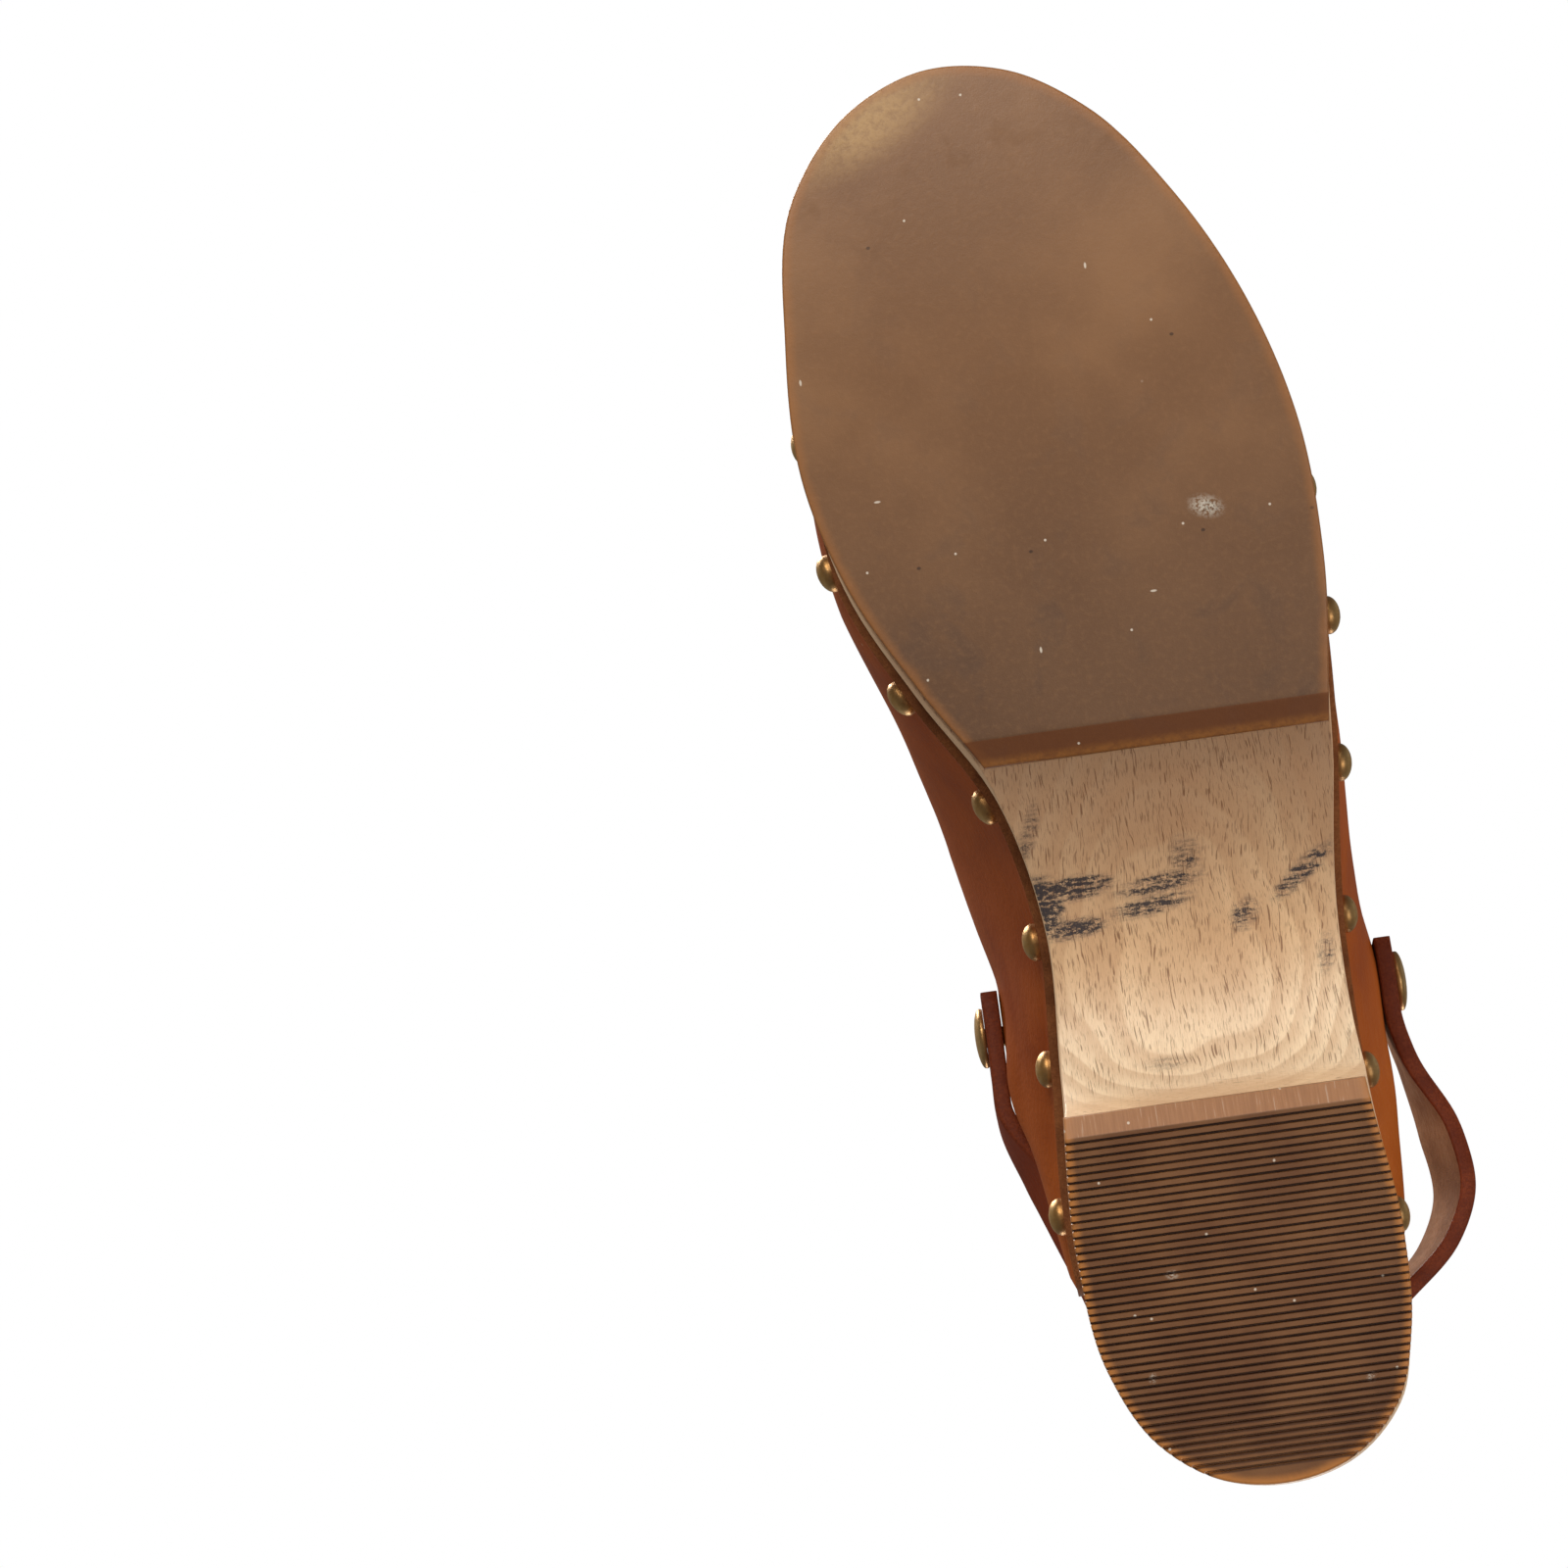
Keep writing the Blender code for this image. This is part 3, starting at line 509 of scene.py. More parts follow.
def gumMaterial():
    material, tree, shader, mm = startMaterial("gumRubber", Specular_IOR_Level=rubber["shine"])
    along = splitXyz(tree, mm)[1]
    broad = cloud(tree, mm, 0.022, 4.0, 0.55)
    smudge = level(tree, cloud(tree, mm, 0.09, 5.0, 0.62, 0.6), 0.5, 0.72)
    mottle = cloud(tree, mm, 0.8, 4.0, 0.7)
    fine = cloud(tree, mm, 3.0, 3.0, 0.6)
    # darker towards the rear of the sole, evenly and in smudges
    colour = layered(
        tree, rubber["dark"], (level(tree, broad, 0.36, 0.64), rubber["light"]), (0.55, rubber["main"]),
        (times(tree, level(tree, along, -85.0, -10.0), 0.6), rubber["darkerRear"]),
        (times(tree, smudge, level(tree, along, -80.0, -10.0, 0.25, 1.0), 0.42), rubber["darkerRear"]),
        (level(tree, mottle, 0.45, 0.75, 0.0, 0.22), rubber["light"]))
    # the toe tip is scuffed pale towards the inner side, with a painted highlight where the sole curves up
    # there, and a paler rim is painted as the light that comes through the thin rubber and catches its
    # rounded edge
    toeScuffAndHighlight = spotMask(tree, mm, *rubber["toeScuffAndHighlight"])
    ragged = maths(tree, "ADD", cloud(tree, mm, 0.25, 2.0), stored(tree, "edge"))
    colour = layered(
        tree, colour, (times(tree, toeScuffAndHighlight, level(tree, mottle, 0.3, 0.6, 0.45, 0.85)), rubber["worn"]),
        (times(tree, level(tree, ragged, 3.0, 0.8), 0.4), rubber["rim"]))
    # the skived band at the rear, painted darker as shade on its slope that faces the heel, and a paler
    # orange line along its rear edge
    rear = shoe["midU"] - rubber["soleRear"]
    bandStart = rear - rubber["skiveLong"]
    skive = level(tree, along, bandStart - 0.15, bandStart + 0.15)
    lip = level(tree, along, rear - 2.4, rear - 0.6)
    colour = layered(
        tree, colour, (times(tree, skive, 0.72), rubber["skive"]),
        (times(tree, lip, level(tree, mottle, 0.3, 0.65, 0.25, 0.7)), rubber["lip"]))
    # a picked-up scrape, lint and dust
    scrape = times(tree, spotMask(tree, mm, *rubber["scrape"]),
                   level(tree, cloud(tree, mm, 1.4, 4.0, 0.7), 0.42, 0.55))
    pit = times(tree, spotMask(tree, mm, *rubber["scrapePit"]),
                level(tree, cloud(tree, mm, 2.2, 3.0, 0.7), 0.52, 0.58))
    crumbs = lintMask(tree, stretched(tree, mm, 1, 1.3, 1), 0.04, 0.5, 0.25)
    colour = layered(
        tree, colour, (scrape, rubber["chalk"]), (times(tree, pit, 0.8), rubber["pit"]),
        *[(times(tree, lintMask(tree, mm, *layer), 0.8), rubber["lint"]) for layer in rubber["lintLayers"]],
        (times(tree, crumbs, 0.7), rubber["crumb"]))
    wire(tree, shader, colour, level(tree, smudge, 0.0, 1.0, 0.46, 0.6))
    bumpFrom(tree, shader, (broad, 0.25), (mottle, 0.05), (fine, 0.015))
    return material


def ribbedMaterial():
    material, tree, shader, mm = startMaterial("ribbedRubber", Specular_IOR_Level=rubber["shine"])
    groove = stored(tree, "groove")
    broad = cloud(tree, mm, 0.05, 4.0, 0.6)
    fine = cloud(tree, mm, 2.4, 3.0, 0.6)
    ragged = maths(tree, "MULTIPLY_ADD", cloud(tree, mm, 0.3, 2.0), 0.8, stored(tree, "edge"))
    bandEnd = shoe["midU"] - rubber["heelFront"] + rubber["heelSkive"]
    skive = level(tree, splitXyz(tree, mm)[1], bandEnd + 0.15, bandEnd - 0.15)
    streak = streaks(tree, mm, 3.0, 0.12, 0.1)
    # the grooves are painted dark, as dirt and as painted shade in the recesses
    grooveShadeAndDirt = level(tree, cloud(tree, mm, 0.12, 4.0, 0.6), 0.3, 0.7, 0.72, 1.0)
    dusty = times(tree, level(tree, cloud(tree, mm, 1.7, 4.0, 0.7), 0.45, 0.56),
                  opposite(tree, times(tree, groove, 0.7)), 0.7)
    colour = layered(
        tree, rubber["crestDark"], (level(tree, broad, 0.35, 0.65), rubber["crest"]),
        # a paler rim painted as a highlight, where light comes through the thin rubber and catches its edge
        (times(tree, level(tree, ragged, 2.6, 0.8), 0.75), rubber["heelRimHighlight"]),
        # the smooth front band is painted lighter, as painted light on the slope that faces the toe
        (times(tree, skive, level(tree, streak, 0.3, 0.7, 0.6, 0.9)), rubber["strip"]),
        (times(tree, skive, level(tree, streak, 0.62, 0.7, 0.0, 0.3)), rubber["chalk"]),
        (times(tree, groove, grooveShadeAndDirt), rubber["groove"]),
        *[(times(tree, spotMask(tree, mm, *oval), dusty), rubber["chalk"]) for oval in rubber["heelChalk"]],
        (times(tree, lintMask(tree, mm, 0.08, 0.32, 0.5), 0.75), rubber["lint"]))
    wire(tree, shader, colour, level(tree, fine, 0.3, 0.7, 0.42, 0.56))
    bumpFrom(tree, shader, (broad, 0.12), (fine, 0.03))
    return material


def treadRow(u, floor, top):
    arris, high = rubber["arris"], top - rubber["topArris"]
    wall = [(floor, arris), (floor + 0.09 * arris, 0.62 * arris), (floor + 0.3 * arris, 0.3 * arris),
            (floor + 0.62 * arris, 0.09 * arris), (floor + arris, 0.0), (high, 0.0),
            (top, rubber["topArris"])]
    outer, inner = [[wallPoint(u, side, z, inset, True) for z, inset in wall] for side in (1, -1)]
    # closer points near both edges, where the rim's colour changes
    width = max(0.001, float(np.linalg.norm(outer[0] - inner[0])))
    if width > 24:
        margin = [d / width for d in (0.5, 1.1, 1.8, 2.6, 3.6, 5.0, 7.5)]
    else:
        margin = list(np.linspace(0.02, 0.3, 7))
    middle = np.linspace(margin[-1], 1 - margin[-1], 12)[1:-1]
    across = [0.0, *margin, *middle, *[1 - m for m in margin[::-1]], 1.0]
    row = [outer[0] + (inner[0] - outer[0]) * t for t in across]
    row += inner[1:]
    row += [inner[-1] + (outer[-1] - inner[-1]) * t for t in (0.25, 0.5, 0.75)]
    return row + outer[:0:-1]


def makeForefootSole():
    rear, skive = rubber["soleRear"], rubber["skiveLong"]
    rearEnd = [rear + d for d in (0, 0.12, 0.4, 1.2, 2.4, 3.6, 4.7, 5.1, 5.4, 6.2)]
    rows = []
    for u in [*rearEnd, *np.arange(rear + 8, 246, 2.2), *tipSpread(toeTip, -15, 26)[::-1]]:
        cut = rubber["skiveHigh"] * max(0.0, 1 - (u - rear) / skive)
        lip = 0.12 if u == rear else 0.0
        rows.append(treadRow(u, treadHeight(u) + cut + lip, treadHeight(u) + rubber["soleThick"]))
    mesh = rowLoft("forefootSole", rows, capFirst=True)
    storeValue(mesh, "edge", edgeDistance(mesh))
    mesh.materials.append(gumMaterial())
    return newPiece("forefootSole", mesh, "clog", "forefoot_outsole", 32)


ridgeStart = rubber["heelFront"] - rubber["heelSkive"] - rubber["ridges"] * rubber["ridgePitch"]


def ridgeDepth(u):
    turn = (u - ridgeStart) / rubber["ridgePitch"]
    if turn < 0 or turn >= rubber["ridges"]:
        return 0.0
    rise = clamped((0.2 - abs(turn % 1.0 - 0.3)) / 0.12)
    return rise * rise * (3 - 2 * rise)


def makeHeelPiece():
    front, skive = rubber["heelFront"], rubber["heelSkive"]
    turns = (0.0, 0.1, 0.14, 0.18, 0.22, 0.3, 0.38, 0.42, 0.46, 0.5, 0.6, 0.8)
    tip = [u for u in tipSpread(heelTip, 15, 40) if u < ridgeStart - 0.02]
    ribbed = [ridgeStart + (i + t) * rubber["ridgePitch"] for i in range(rubber["ridges"]) for t in turns]
    smoothFront = [front - skive * t for t in (1.0, 0.96, 0.8, 0.55, 0.3, 0.1, 0.03, 0.0)]
    rows = []
    for u in [*tip, *ribbed, *smoothFront]:
        cut = rubber["skiveHigh"] * max(0.0, 1 - (front - u) / skive)
        rows.append(treadRow(u, cut + rubber["ridgeDeep"] * ridgeDepth(u), rubber["heelThick"]))
    mesh = rowLoft("ribbedHeelPiece", rows, capLast=True)
    u, _, z = shoePositions(mesh)
    storeValue(mesh, "edge", edgeDistance(mesh))
    storeValue(mesh, "groove", [ridgeDepth(a) if b < 2 else 0.0 for a, b in zip(u, z)])
    mesh.materials.append(ribbedMaterial())
    return newPiece("ribbedHeelPiece", mesh, "clog", "heel_top_piece", 40)


# Metal: antique brass, paler where it is rubbed.

brass = {"bright": (246, 204, 138), "mid": (224, 172, 102), "aged": (146, 98, 52)}


def brassMaterial(name, middle):
    # bright to the middle radius and aged round it
    material, tree, shader, mm = startMaterial(name, Metallic=0.88)
    patch = cloud(tree, mm, 0.35, 4.0, 0.6)
    seed = addNode(tree, "ObjectInfo").outputs["Random"]
    shifted = addNode(tree, "TexNoise", {"Vector": mm, "W": seed, "Scale": 1.1, "Detail": 3.0},
                      noise_dimensions="4D").outputs["Fac"]
    away = lengthOf(tree, stretched(tree, mm, 1, 1, 0))
    rim = level(tree, maths(tree, "MULTIPLY_ADD", shifted, 0.8, away), middle + 0.3, middle + 1.5)
    colour = layered(
        tree, brass["mid"], (level(tree, patch, 0.3, 0.7), brass["bright"]),
        (times(tree, rim, 0.7), brass["aged"]),
        (level(tree, shifted, 0.6, 0.74, 0.0, 0.5), brass["aged"]))
    wire(tree, shader, colour, level(tree, shifted, 0.3, 0.7, 0.34, 0.5))
    bumpFrom(tree, shader, (streaks(tree, mm, 0.7, 9.0, 2.0), 0.008), (shifted, 0.05))
    return material


def turnedMesh(name, profile, sides, ring=False):
    # spins a profile of radius and height in millimetres about Z
    bm = bmesh.new()
    loops = []
    for radius, z in profile:
        if radius < 1e-6:
            loops.append([bm.verts.new((0, 0, z / 1000))])
            continue
        loops.append([bm.verts.new((radius / 1000 * math.cos(a), radius / 1000 * math.sin(a), z / 1000))
                      for a in np.arange(sides) * 2 * math.pi / sides])
    pairs = list(zip(loops, loops[1:])) + ([(loops[-1], loops[0])] if ring else [])
    for low, high in pairs:
        for i in range(sides):
            j = (i + 1) % sides
            corners = [low[i % len(low)], low[j % len(low)], high[j % len(high)], high[i % len(high)]]
            bm.faces.new(list(dict.fromkeys(corners)))
    return finishMesh(bm, name)


nailShape = {"head": 3.55, "dome": 2.3, "skirt": 0.95, "shank": 0.9, "point": 3.0, "long": 12.0,
             "bright": 2.5, "sides": 28}


def nailAxes():
    # each nail's seat and direction, from its solid: the tip is farthest from the head
    found = {}
    for node in sorted(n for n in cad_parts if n.startswith("upper_nail")):
        points = meshPoints(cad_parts[node].data)
        tip = points[np.argmax(((points - points.mean(0)) ** 2).sum(1))]
        top = points[np.argmax(((points - tip) ** 2).sum(1))]
        axis = Vector(top - tip).normalized()
        found[node] = (Vector(tip) + axis * nailShape["long"] / 1000, axis)
    return found


nailSeats = nailAxes()


def makeNails():
    head, dome, shank, long = [nailShape[key] for key in ("head", "dome", "shank", "long")]
    profile = [(head * math.sin(a), dome * math.cos(a))
               for a in np.radians((0, 12, 24, 36, 48, 60, 71, 80, 87))]
    profile += [(head, -0.05), (head - 0.12, -nailShape["skirt"]), (shank, -nailShape["skirt"]),
                (shank, nailShape["point"] - long), (0.0, -long)]
    mesh = turnedMesh("nail", profile, nailShape["sides"])
    mesh.materials.append(brassMaterial("nailBrass", nailShape["bright"]))
    for number, (node, (seat, axis)) in enumerate(sorted(nailSeats.items()), 1):
        turn = Vector((0, 0, 1)).rotation_difference(axis).to_matrix().to_4x4()
        newPiece(f"domedNail{number:02}", mesh, "clog", node, 50, Matrix.Translation(seat) @ turn)


rivetShape = {"u": 83.2, "z": 88.0, "cap": 5.8, "dome": 1.85, "post": 1.9, "back": 5.0, "bright": 5.0,
              "sides": 48}


def spanOut(node, sign):
    # how near and how far a solid lies from the middle plane on its own side
    low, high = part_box(node)
    return sorted((sign * low.x * 1000, sign * high.x * 1000))


def makeRivets():
    cap, dome, post, back = [rivetShape[key] for key in ("cap", "dome", "post", "back")]
    metal = brassMaterial("rivetBrass", rivetShape["bright"])
    for side, sign in (("outer", 1), ("inner", -1)):
        postEnd, face = spanOut(f"strap_rivet_{side}", sign)
        backRear, backFace = spanOut(f"rivet_back_{side}", sign)
        seat = face - dome - 0.05
        reach, deep = seat - postEnd, seat - backFace
        rear = deep + backFace - backRear
        capProfile = [(cap * math.sin(a), 0.5 + (dome - 0.45) * math.cos(a))
                      for a in np.radians((0, 10, 20, 30, 40, 50, 60, 70, 80))]
        capProfile += [(cap, 0.45), (cap - 0.02, 0.1), (cap - 0.2, -0.15), (post, -0.15),
                       (post, -reach + 0.6), (post * 0.8, -reach + 0.15), (0.0, -reach)]
        backRing = [(back - 0.15, -deep + 0.1), (back, -deep - 0.15), (back - 0.1, -rear + 0.35),
                    (back - 0.6, -rear), (3.4, -rear + 0.05), (2.9, -rear + 0.35), (2.3, -rear + 0.1),
                    (2.25, -deep)]
        spot = place(rivetShape["u"], 0.0, rivetShape["z"])
        spot.x = sign * seat / 1000
        matrix = Matrix.Translation(spot) @ Matrix.Rotation(math.radians(90 * sign), 4, "Y")
        for name, profile, node, ring in (("strapRivet", capProfile, "strap_rivet", False),
                                          ("rivetBack", backRing, "rivet_back", True)):
            mesh = turnedMesh(name, profile, rivetShape["sides"], ring)
            mesh.materials.append(metal)
            newPiece(f"{name}_{side}", mesh, "clog", f"{node}_{side}", 50, matrix)


# Leather: smooth cognac outside, pale flesh inside, cut edges left open on the upper.

leather = {
    "upper": [(176, 92, 30), (156, 74, 20), (124, 50, 12)],          # light, middle and deep
    "strap": [(150, 66, 22), (126, 48, 15), (92, 30, 10)],
    "upperFlesh": [(182, 142, 106), (146, 106, 74)],                 # pale and dark
    "strapFlesh": [(168, 124, 92), (116, 78, 54)],
    "rawEdge": [(128, 76, 42), (146, 92, 54), (76, 38, 20)],
    "paintedEdge": [(104, 44, 22), (126, 58, 30), (78, 28, 14)],
    "dust": (206, 176, 146), "shine": 0.1, "edgeShine": 0.12,
}


def grainMaterial(name, light, mid, deep):
    material, tree, shader, mm = startMaterial(name, Specular_IOR_Level=leather["shine"])
    broad = cloud(tree, mm, 0.018, 4.0, 0.55)
    patch = cloud(tree, mm, 0.07, 5.0, 0.6, 0.4)
    pores = cells(tree, mm, 1.5)["Distance"]
    grain = cells(tree, mm, 0.85, feature="SMOOTH_F1")["Distance"]
    fine = cloud(tree, mm, 2.6, 4.0, 0.65)
    pull = level(tree, streaks(tree, mm, 0.25, 0.06, 0.12), 0.6, 0.75)
    scratch = streaks(tree, mm, 0.35, 2.4, 2.4, 3.0, 0.6)
    speck = cells(tree, mm, 0.13)
    chosen = addNode(tree, "SeparateColor", {0: speck["Color"]}).outputs[0]
    dust = times(tree, level(tree, speck["Distance"], 0.055, 0.02), level(tree, chosen, 0.78, 0.8))
    colour = layered(
        tree, deep, (level(tree, broad, 0.34, 0.66), light),
        (level(tree, patch, 0.3, 0.7, 0.35, 0.8), mid), (level(tree, fine, 0.5, 0.78, 0.0, 0.22), deep),
        (times(tree, pull, 0.14), light), (level(tree, scratch, 0.68, 0.76, 0.0, 0.35), deep),
        (times(tree, dust, 0.7), leather["dust"]))
    wire(tree, shader, colour, level(tree, patch, 0.25, 0.75, 0.40, 0.58))
    bumpFrom(tree, shader, (broad, 0.5), (grain, 0.07), (pores, 0.03), (fine, 0.02))
    return material


def fleshMaterial(name, pale, dark):
    material, tree, shader, mm = startMaterial(name, Specular_IOR_Level=leather["shine"])
    broad = cloud(tree, mm, 0.05, 4.0, 0.6)
    nap = streaks(tree, mm, 1.6, 0.5, 1.6, 5.0, 0.7)
    colour = layered(tree, dark, (level(tree, broad, 0.3, 0.7), pale),
                     (level(tree, nap, 0.4, 0.75, 0.0, 0.5), dark))
    wire(tree, shader, colour, level(tree, nap, 0.3, 0.7, 0.7, 0.9))
    bumpFrom(tree, shader, (nap, 0.14), (cloud(tree, mm, 4.0, 3.0, 0.6), 0.05))
    return material


def cutEdgeMaterial(name, colours, rough, hairy):
    material, tree, shader, mm = startMaterial(name, Specular_IOR_Level=leather["edgeShine"])
    hair = cloud(tree, mm, 1.8, 5.0, 0.75)
    broad = cloud(tree, mm, 0.12, 3.0)
    colour = layered(tree, colours[0], (level(tree, hair, 0.35, 0.68), colours[1]),
                     (level(tree, broad, 0.4, 0.7, 0.0, 0.5), colours[2]))
    wire(tree, shader, colour, level(tree, hair, 0.3, 0.7, rough - 0.08, rough + 0.08))
    bumpFrom(tree, shader, (hair, hairy), (broad, hairy))
    return material


upper = {
    "from": 34.0, "thick": 2.2, "gap": 0.3, "lap": 11.0, "cornerRound": 6.0, "softEdge": 0.35,
    "dimple": 0.25, "dimpleWide": 5.0, # how the leather dips round each nail
    "drawnUp": 0.9, "drawnReach": 15.0, "calmReach": 9.0,   # pulled to the strap round the rivet
    "swollen": 1.3, "swollenAt": (9.0, 72.5), "swollenWide": (14.0, 4.5),  # a bulge in the inner quarter
    "topline": [
        (36.0, 33.6, 63.0), (52.0, 34.8, 67.5), (63.0, 35.6, 74.5), (74.0, 35.9, 88.5), (88.0, 35.9, 99.0),
        (101.0, 34.6, 102.0), (124.0, 26.0, 101.0), (142.0, 10.0, 96.5), (150.0, -10.0, 93.5),
        (142.0, -29.0, 97.0), (124.0, -40.0, 101.5), (104.0, -39.4, 102.0), (92.0, -36.7, 99.8),
        (74.0, -36.5, 88.5), (63.0, -33.9, 74.5), (52.0, -33.0, 67.5), (36.0, -31.2, 63.0)],
    # where each of those points meets the base: u, and 1 outer, -1 inner, 0 toe
    "footing": [(34, 1), (51, 1), (63, 1), (73, 1), (88, 1), (104, 1), (145, 1), (205, 1), (262, 0),
                (212, -1), (152, -1), (107, -1), (92, -1), (73, -1), (63, -1), (51, -1), (34, -1)],
    # how it leaves the base (rise, out) and reaches the top edge (ahead, out, drop)
    "swell": [
        (1, 0.6, 0, 0, 1), (3, 1.4, 0, 0.8, 3), (7, 3, 0, 1.5, 7), (12, 5.2, 0, 0.6, 16),
        (14, 5.6, 0, 0, 22), (14, 4.4, 2, 0.6, 22), (17, 2.4, 12, 9, 23), (18, 3.4, 36, 13, 18),
        (20, 4.4, 52, 0, 17),
        (18, 6, 34, 11, 18), (18, 4.4, 12, 9, 21), (17, 6, 2, 1.6, 21), (14, 7, 0, 0, 22),
        (12, 5.6, 0, 0.9, 16), (7, 3.4, 0, 2.4, 7), (3, 1.6, 0, 1.2, 3), (1, 0.6, 0, 0, 1)],
}


def trimmedSide(side):
    table = woodSides[side]
    start = [np.interp(upper["from"], table[:, 0], table[:, k]) for k in range(5)]
    return np.vstack([start, table[table[:, 0] > upper["from"] + 0.2]])


def upperSurface():
    # rows of points on the leather's outer face, lower edge first
    outer, inner = trimmedSide(1), trimmedSide(-1)
    line = np.vstack([outer, inner[-2::-1]])
    run = np.concatenate([[0.0], np.cumsum(np.linalg.norm(np.diff(line[:, :2], axis=0), axis=1))])
    toe = len(outer) - 1

    def station(u, side):
        if side == 0:
            return run[toe]
        if side > 0:
            return float(np.interp(u, line[:toe + 1, 0], run[:toe + 1]))
        return float(np.interp(-u, -line[toe:, 0], run[toe:]))

    stations = np.array([station(u, side) for u, side in upper["footing"]])
    shape = smoothCurve(np.hstack([stations[:, None], upper["topline"], upper["swell"]]), 6)
    topU, topV, topZ, rise, out, ahead, apart, drop = [
        np.interp(run, shape[:, 0], shape[:, k]) for k in range(1, 9)]
    straight = upper["lap"] - block["rimRound"]
    columns = []
    for i, (u, v, nu, nv, step) in enumerate(line):
        reach = upper["thick"] + upper["gap"] - step
        low = np.array([u + nu * reach, v + nv * reach, heightAt(rimCurve, u) - upper["lap"]])
        foot = low + np.array([0, 0, straight])
        top = np.array([topU[i], topV[i], topZ[i]])
        knee = foot + np.array([nu * out[i], nv * out[i], rise[i]])
        hip = top + np.array([ahead[i], nv * apart[i], -drop[i]])
        path = [low + (foot - low) * t for t in np.linspace(0, 1, 6)[:-1]]
        for t in np.linspace(0, 1, 30):
            s = 1 - t
            path.append(s**3 * foot + 3 * s**2 * t * knee + 3 * s * t**2 * hip + t**3 * top)
        path = np.array(path)
        toEnd = min(run[i], run[-1] - run[i])
        size = upper["cornerRound"]
        if toEnd < size:
            # the quarters' rear corners are cut round
            trim = size - math.sqrt(size**2 - (size - toEnd)**2)
            along = np.concatenate([[0.0], np.cumsum(np.linalg.norm(np.diff(path, axis=0), axis=1))])
            wanted = trim + (along[-1] - 2 * trim) * along / along[-1]
            path = np.stack([np.interp(wanted, along, path[:, k]) for k in range(3)], axis=1)
        columns.append(path)
    return np.array(columns).transpose(1, 0, 2)


def gridNormals(grid):
    # the directions that point out of the leather
    normal = np.cross(np.gradient(grid, axis=0), np.gradient(grid, axis=1))
    return normal / np.maximum(1e-9, np.linalg.norm(normal, axis=2))[:, :, None]


def rivetDistance(world):
    return np.hypot(world[:, :, 1] - shoe["midU"] + rivetShape["u"], world[:, :, 2] - rivetShape["z"])


def makeUpper():
    world = np.array([[place(*point) for point in row] for row in upperSurface()]) * 1000
    # leather is pulled down a little at each nail, and its surface is never quite even
    push = np.zeros(world.shape[:2])
    for seat, _ in nailSeats.values():
        away = np.linalg.norm(world - np.array(seat) * 1000, axis=2)
        push -= upper["dimple"] * np.exp(-(away / upper["dimpleWide"]) ** 2)
    calm = np.clip((rivetDistance(world) - upper["calmReach"]) / 14, 0, 1)
    lift = np.array([[noise.noise(Vector(p) * 0.028) * 0.4 + noise.noise(Vector(p) * 0.075) * 0.1
                      for p in row] for row in world])
    rows, count = world.shape[:2]
    fade = np.clip(np.arange(rows) / 9, 0, 1)[:, None]
    world = world + gridNormals(world) * (push + (lift - 0.25) * calm * fade)[:, :, None]
    # the rivets hold it close under the strap, and the inner quarter swells below its rivet
    drawn = np.clip((upper["drawnReach"] - rivetDistance(world)) / 8, 0, 1) ** 2 * upper["drawnUp"]
    under = strap["thick"] + 0.15
    seat = np.where(world[:, :, 0] > 0, strap["outer"] - under, strap["inner"] + under) - shoe["midV"]
    world[:, :, 0] += (seat - world[:, :, 0]) * drawn
    ahead = world[:, :, 1] - shoe["midU"] + rivetShape["u"] - upper["swollenAt"][0]
    above = world[:, :, 2] - upper["swollenAt"][1]
    swollen = np.exp(-(ahead / upper["swollenWide"][0]) ** 2 - (above / upper["swollenWide"][1]) ** 2)
    world[:, :, 0] -= np.where(world[:, :, 0] < 0, swollen * upper["swollen"], 0)
    bm = bmesh.new()
    verts = [[bm.verts.new(Vector(point) / 1000) for point in row] for row in world]
    for low, high in zip(verts, verts[1:]):
        for i in range(count - 1):
            bm.faces.new((low[i], high[i], high[i + 1], low[i + 1]))
    mesh = finishMesh(bm, "leatherUpper", closed=False)
    mesh.materials.append(grainMaterial("cognacLeather", *leather["upper"]))
    mesh.materials.append(fleshMaterial("upperLining", *leather["upperFlesh"]))
    mesh.materials.append(cutEdgeMaterial("rawLeatherEdge", leather["rawEdge"], 0.75, 0.25))
    piece = newPiece("leatherUpper", mesh, "clog", "leather_upper", 80)
    shell = piece.modifiers.new("thickness", "SOLIDIFY")
    shell.thickness = upper["thick"] / 1000
    shell.offset = -1
    shell.use_even_offset = True
    shell.material_offset = 1
    shell.material_offset_rim = 2
    soft = piece.modifiers.new("softEdge", "BEVEL")
    soft.width = upper["softEdge"] / 1000
    soft.segments = 2
    soft.limit_method = "ANGLE"
    soft.angle_limit = math.radians(60)
    return piece


strap = {
    "path": [(67, 41.2), (54, 45), (40, 46), (30.5, 41.4), (21.5, 31.4), (11.5, 17), (7, 1), (10.5, -12.6),
             (20.5, -22), (38, -28.8), (54, -34.6), (67, -40.2)],
    "wide": 15.0, "thick": 3.2, "tail": 8.0, "drop": 11.0, "outer": 39.4, "inner": -40.2,
    "lean": -19.0, "leanStart": 14.0, "leanReach": 18.0, "tailRound": 2.6, "tailTaper": 0.42,
}


def strapSpot(u, v, w):
    back = rivetShape["u"] - u
    spread = clamped((back - strap["leanStart"]) / strap["leanReach"])
    lean = math.radians(strap["lean"]) * spread * spread * (3 - 2 * spread)
    drop = math.radians(strap["drop"])
    v += w * math.sin(lean)
    w *= math.cos(lean)
    down = back * math.cos(drop) + w * math.sin(drop)
    return place(rivetShape["u"] - down, v, rivetShape["z"] + w * math.cos(drop) - back * math.sin(drop))


